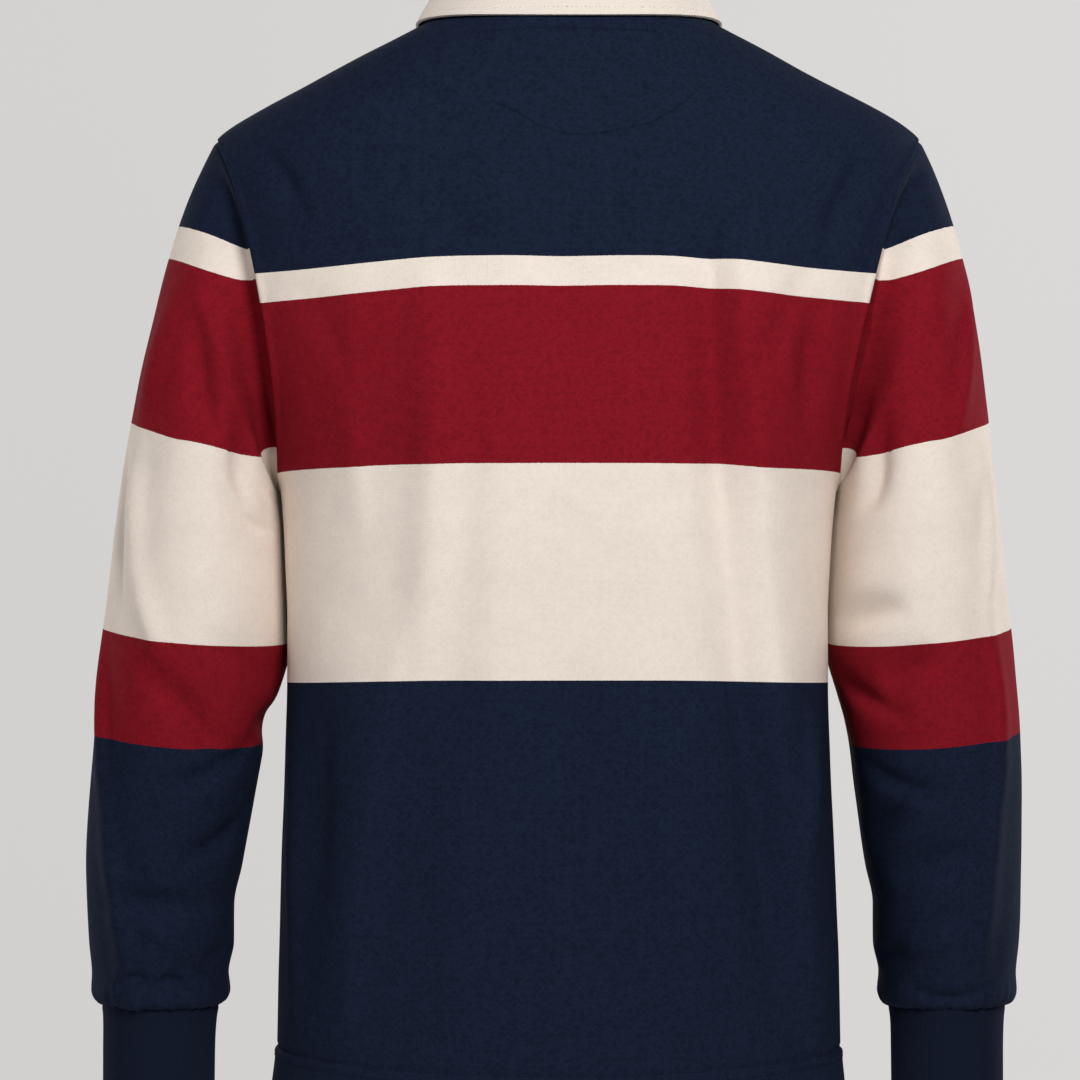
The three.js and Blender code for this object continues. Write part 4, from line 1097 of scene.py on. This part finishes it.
for name, strip in STRIPS.items():
    levels = np.linspace(PLACKET_FOOT + SEAM_GAP, NECK_Z - strip["below"], STRIP_ROWS)[:, None]
    across = strip["half"] * np.linspace(-1, 1, 15)[None, :] + 0 * levels
    levels = levels + 0 * across
    points, outward = strip_place(across, levels, strip["out"] + strip["thick"] / 2)
    piece = lay_sheet(name + "_twill", points, outward, across, levels)
    finish_sheet(piece, strip["thick"], rounding=0.4)
    declare_cloth(piece, [name], collar_twill, flat=(0.034, 0.175))

# %% The buttons' finish
for index in range(len(BUTTONS_BELOW_NECK)):
    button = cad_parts[f"button_{index + 1}"]
    button.data.materials.clear()
    button.data.materials.append(button_horn)
print("buttons finished:", len(BUTTONS_BELOW_NECK))

# %% [markdown]
# ## Stitches
# Stitches are small, alike and many, so one is modelled and laid again and again along a seam. It is
# a rounded bead with few faces, stretched along the thread and pressed flat into the cloth.

# %% One stitch
deselect()
bpy.ops.mesh.primitive_uv_sphere_add(segments=6, ring_count=4, radius=0.5)
bead = bpy.context.object
bpy.ops.object.mode_set(mode="EDIT")
bpy.ops.mesh.select_all(action="SELECT")
bpy.ops.transform.rotate(value=math.pi / 2, orient_axis="Y", center_override=(0, 0, 0))
bpy.ops.object.mode_set(mode="OBJECT")
BEAD = np.array([vertex.co for vertex in bead.data.vertices])
BEAD_FACES = [list(face.vertices) for face in bead.data.polygons]
bpy.data.objects.remove(bead)
print("faces in a stitch:", len(BEAD_FACES))


# %% A row of stitches along a seam
def along_path(path, pitch):
    """Where the stitches of a path lie: their indices as shares between its points."""
    steps = np.linalg.norm(np.diff(path, axis=0), axis=1)
    run = np.concatenate([[0], np.cumsum(steps)])
    count = max(2, int(run[-1] / pitch))
    at = (np.arange(count) + 0.5) * run[-1] / count
    return np.interp(at, run, np.arange(len(path)))


def sew(name, paths, material, length=2.6, pitch=3.3, width=0.55, proud=0.1):
    """paths is a list of (points, outward directions), each in rows."""
    vertices, faces = [], []
    for path, outward in paths:
        index = along_path(path, pitch)
        low = np.clip(index.astype(int), 0, len(path) - 2)
        share = (index - low)[:, None]
        centre = path[low] * (1 - share) + path[low + 1] * share
        up = unit(outward[low] * (1 - share) + outward[low + 1] * share)
        way = unit(path[low + 1] - path[low])
        beside = unit(np.cross(up, way))
        for c, w, b, u in zip(centre + up * proud, way, beside, up):
            start = len(vertices)
            laid = c + BEAD[:, :1] * length * w + BEAD[:, 1:2] * width * b + BEAD[:, 2:] * width * 0.8 * u
            vertices.extend(laid * MM)
            faces.extend([[start + i for i in face] for face in BEAD_FACES])
    mesh = bpy.data.meshes.new(name)
    mesh.from_pydata([tuple(v) for v in vertices], [], faces)
    piece = bpy.data.objects.new(name, mesh)
    bpy.context.collection.objects.link(piece)
    make_active(piece)
    bpy.ops.object.mode_set(mode="EDIT")
    bpy.ops.mesh.select_all(action="SELECT")
    bpy.ops.mesh.normals_make_consistent(inside=False)
    bpy.ops.object.mode_set(mode="OBJECT")
    bpy.ops.object.shade_smooth()
    mesh.materials.append(material)
    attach(piece, "root")
    print(name, "stitches", len(faces) // len(BEAD_FACES), "triangles", triangles(piece))


# %% Sewing the hem, the half-moon and the neck
full = np.linspace(-0.992, 0.992, 240)
sew(
    "stitches_hem",
    [panel(side, full, level) for side in (BACK, FRONT) for level in (HEM_TOP - 0.2, HEM_TOP - 6.4)],
    navy_thread,
)


def on_back(x, z):
    """Points of the back at a distance from the middle and a height."""
    level = z.copy()
    for _ in range(12):
        edge = panel_edge(BACK, level)
        level = level + (z - row_height(BACK, level, np.clip(x / edge, -1, 1)))
    return panel(BACK, share_at(BACK, x, level), level)


moon_x = np.linspace(HALF_MOON["x"][0], HALF_MOON["x"][-1], 90)
neck_x = np.linspace(-NECK_LINE_HALF, NECK_LINE_HALF, 60)
sew(
    "stitches_facing",
    [on_back(moon_x, column(HALF_MOON, "z", moon_x)), on_back(neck_x, NECK_LINE_Z - 0.0006 * neck_x**2)],
    navy_thread,
    width=0.45,
    proud=-0.05,
)

# %% Sewing the collar
EDGE_STITCH = 5.5


def collar_stitches():
    inset = 1 - EDGE_STITCH / 45
    run = np.linspace(-end_share + 0.012, end_share - 0.012, 220)
    path = collar_fall(run, np.full(len(run), inset))
    _, _, outward = collar_frame(run)
    paths = [(path + outward * TWILL / 2, outward)]
    for side in (-1, 1):
        ends = np.full(24, side * (end_share - 0.012))
        line = collar_fall(ends, np.linspace(0.02, inset, 24))
        _, _, outward = collar_frame(ends)
        paths.append((line + outward * TWILL / 2, outward))
    return paths


sew("stitches_collar", collar_stitches(), cream_thread, length=2.4, pitch=3.0)

# %% Sewing the placket and the buttons
upper = STRIPS["placket_upper"]
face_out = upper["out"] + upper["thick"] / 2
rows = np.linspace(PLACKET_FOOT + 3, NECK_Z - 4, 60)
ends = np.linspace(-upper["half"] + 2.5, upper["half"] - 2.5, 12)
paths = [strip_place(np.full(60, x), rows, face_out) for x in (ends[0], ends[-1])]
for above in (3, 22):
    paths.append(strip_place(ends, np.full(12, PLACKET_FOOT + above), face_out))
sew("stitches_placket", paths, cream_thread, length=2.4, pitch=3.0)

thread_paths = []
for below in BUTTONS_BELOW_NECK:
    height = NECK_Z - FRONT_NECK_DROP - below
    middle, facing = panel(FRONT, np.zeros(1), np.full(1, level_at_middle(FRONT, height)), out=0)
    top = middle + facing * (face_out + SEAM_GAP + BUTTON_THICK - 1)
    up = unit(np.cross(facing, (1, 0, 0)))
    for z in (-1.3, 1.3):
        ends = np.concatenate([top + np.array((x, 0, 0)) + up * z for x in (-1.9, 0, 1.9)])
        thread_paths.append((ends, np.repeat(facing, 3, axis=0)))
sew("stitches_buttons", thread_paths, cream_thread, length=2.2, pitch=1.9, width=0.7)

# %% [markdown]
# ## The studio
# The room is a plain pale floor that fades into an even pale surround, a little paler to the right.
# The main lamp stands above the camera, a little nearer the shirt and to the picture's right, so folds
# near the body's sides show and the middle stays even. A weak lamp fills the left. Two narrow lamps
# beyond the shirt light the sleeves' outer edges, and a broad one lights the front.

# %% Floor and surround
SURROUND = (0.675, 0.660, 0.652)
SURROUND_LIGHT = 0.17
FLOOR_Z = -1.45
FLOOR_COLOUR = (0.70, 0.69, 0.68, 1)
FLOOR_GLOW = 0.36
FLOOR_FADES = {"From Min": 0.5, "From Max": 3.2}
deselect()
bpy.ops.mesh.primitive_circle_add(vertices=96, radius=7, fill_type="NGON", location=(0, 0, FLOOR_Z))
floor = bpy.context.object
floor.name = "floor"
bpy.ops.object.transform_apply(location=True, rotation=True, scale=True)
floor_paint, tree, shader = new_material("pale floor", roughness=0.9)
shader.inputs["Base Color"].default_value = FLOOR_COLOUR
shader.inputs["Emission Color"].default_value = FLOOR_COLOUR
shader.inputs["Emission Strength"].default_value = FLOOR_GLOW
place = node(tree, "ShaderNodeTexCoord").outputs["Object"]
parts = node(tree, "ShaderNodeSeparateXYZ", {"Vector": place})
away = calc(tree, "SQRT", calc(
    tree, "ADD", calc(tree, "POWER", parts.outputs["X"], 2.0), calc(tree, "POWER", parts.outputs["Y"], 2.0)
))
fade = node(tree, "ShaderNodeMapRange", {"Value": away, **FLOOR_FADES})
clear = node(tree, "ShaderNodeBsdfTransparent")
mixed = node(tree, "ShaderNodeMixShader", {
    0: fade.outputs["Result"], 1: shader.outputs["BSDF"], 2: clear.outputs["BSDF"],
})
tree.links.new(mixed.outputs["Shader"], tree.nodes["Material Output"].inputs["Surface"])
floor.data.materials.append(floor_paint)

world = bpy.data.worlds.new("pale surround")
world.use_nodes = True
tree = world.node_tree
way = node(tree, "ShaderNodeSeparateXYZ", {"Vector": node(tree, "ShaderNodeTexCoord").outputs["Generated"]})
beside = node(tree, "ShaderNodeMapRange", {
    "Value": way.outputs["X"], "From Min": -0.14, "From Max": 0.14, "To Min": 1.035, "To Max": 0.965,
}, interpolation_type="SMOOTHSTEP").outputs["Result"]
above = node(tree, "ShaderNodeMapRange", {
    "Value": way.outputs["Z"], "From Min": -0.14, "From Max": 0.14, "To Min": 0.985, "To Max": 1.015,
}).outputs["Result"]
tint = shade(tree, SURROUND, calc(tree, "MULTIPLY", beside, above))
tree.links.new(tint, tree.nodes["Background"].inputs["Color"])
seen = node(tree, "ShaderNodeLightPath").outputs["Is Camera Ray"]
strength = calc(tree, "MULTIPLY_ADD", seen, 1.0 - SURROUND_LIGHT, SURROUND_LIGHT)
tree.links.new(strength, tree.nodes["Background"].inputs["Strength"])
bpy.context.scene.world = world


# %% Soft lamps
def lamp(name, place, aim, size, power, spread=180):
    data = bpy.data.lights.new(name, "AREA")
    data.shape = "RECTANGLE"
    data.size, data.size_y = size
    data.energy = power
    data.spread = math.radians(spread)
    made = bpy.data.objects.new(name, data)
    bpy.context.collection.objects.link(made)
    made.location = place
    way = np.array(aim) - np.array(place)
    made.rotation_euler = (
        math.pi / 2 + math.atan2(way[2], math.hypot(way[0], way[1])), 0, math.atan2(-way[0], way[1]),
    )
    made.visible_camera = False


MIDDLE = (0, 0, -0.38)
CHEST = (0, 0, -0.22)
lamp("key", (-0.65, 2.15, 0.8), CHEST, (0.8, 0.8), 9.7, spread=80)
lamp("fill", (1.8, 2.0, 0.6), MIDDLE, (1.2, 1.2), 13)
lamp("right strip", (-2.2, -1.5, 0.1), MIDDLE, (0.5, 2.0), 48)
lamp("left strip", (2.2, -1.5, 0.1), MIDDLE, (0.5, 2.0), 34)
lamp("front fill", (0.6, -3.6, 0.6), MIDDLE, (2.4, 2.4), 60)

# %% [markdown]
# ## Camera
# A long lens at the height of the shirt's middle, straight behind it and tipped up a little, so
# that the collar's top, the cuffs and the hem run out of the frame.

# %% The camera
# The lens's length and its tip are in the picture's own pixels, the sensor in millimetres.
PICTURE_WIDTH = 1080
LENS_LENGTH = 3939
TIPPED_UP = 100
SENSOR = 36
CAMERA_PLACE = (0.0191, 2.6, -0.404)
PITCH = math.atan2(TIPPED_UP, LENS_LENGTH)
view = bpy.data.cameras.new("camera")
view.sensor_width = SENSOR
view.lens = SENSOR * LENS_LENGTH / PICTURE_WIDTH
camera = bpy.data.objects.new("camera", view)
bpy.context.collection.objects.link(camera)
camera.location = CAMERA_PLACE
camera.rotation_euler = (math.pi / 2 + PITCH, 0, math.pi)
bpy.context.scene.camera = camera
bpy.context.scene.view_settings.view_transform = "Standard"
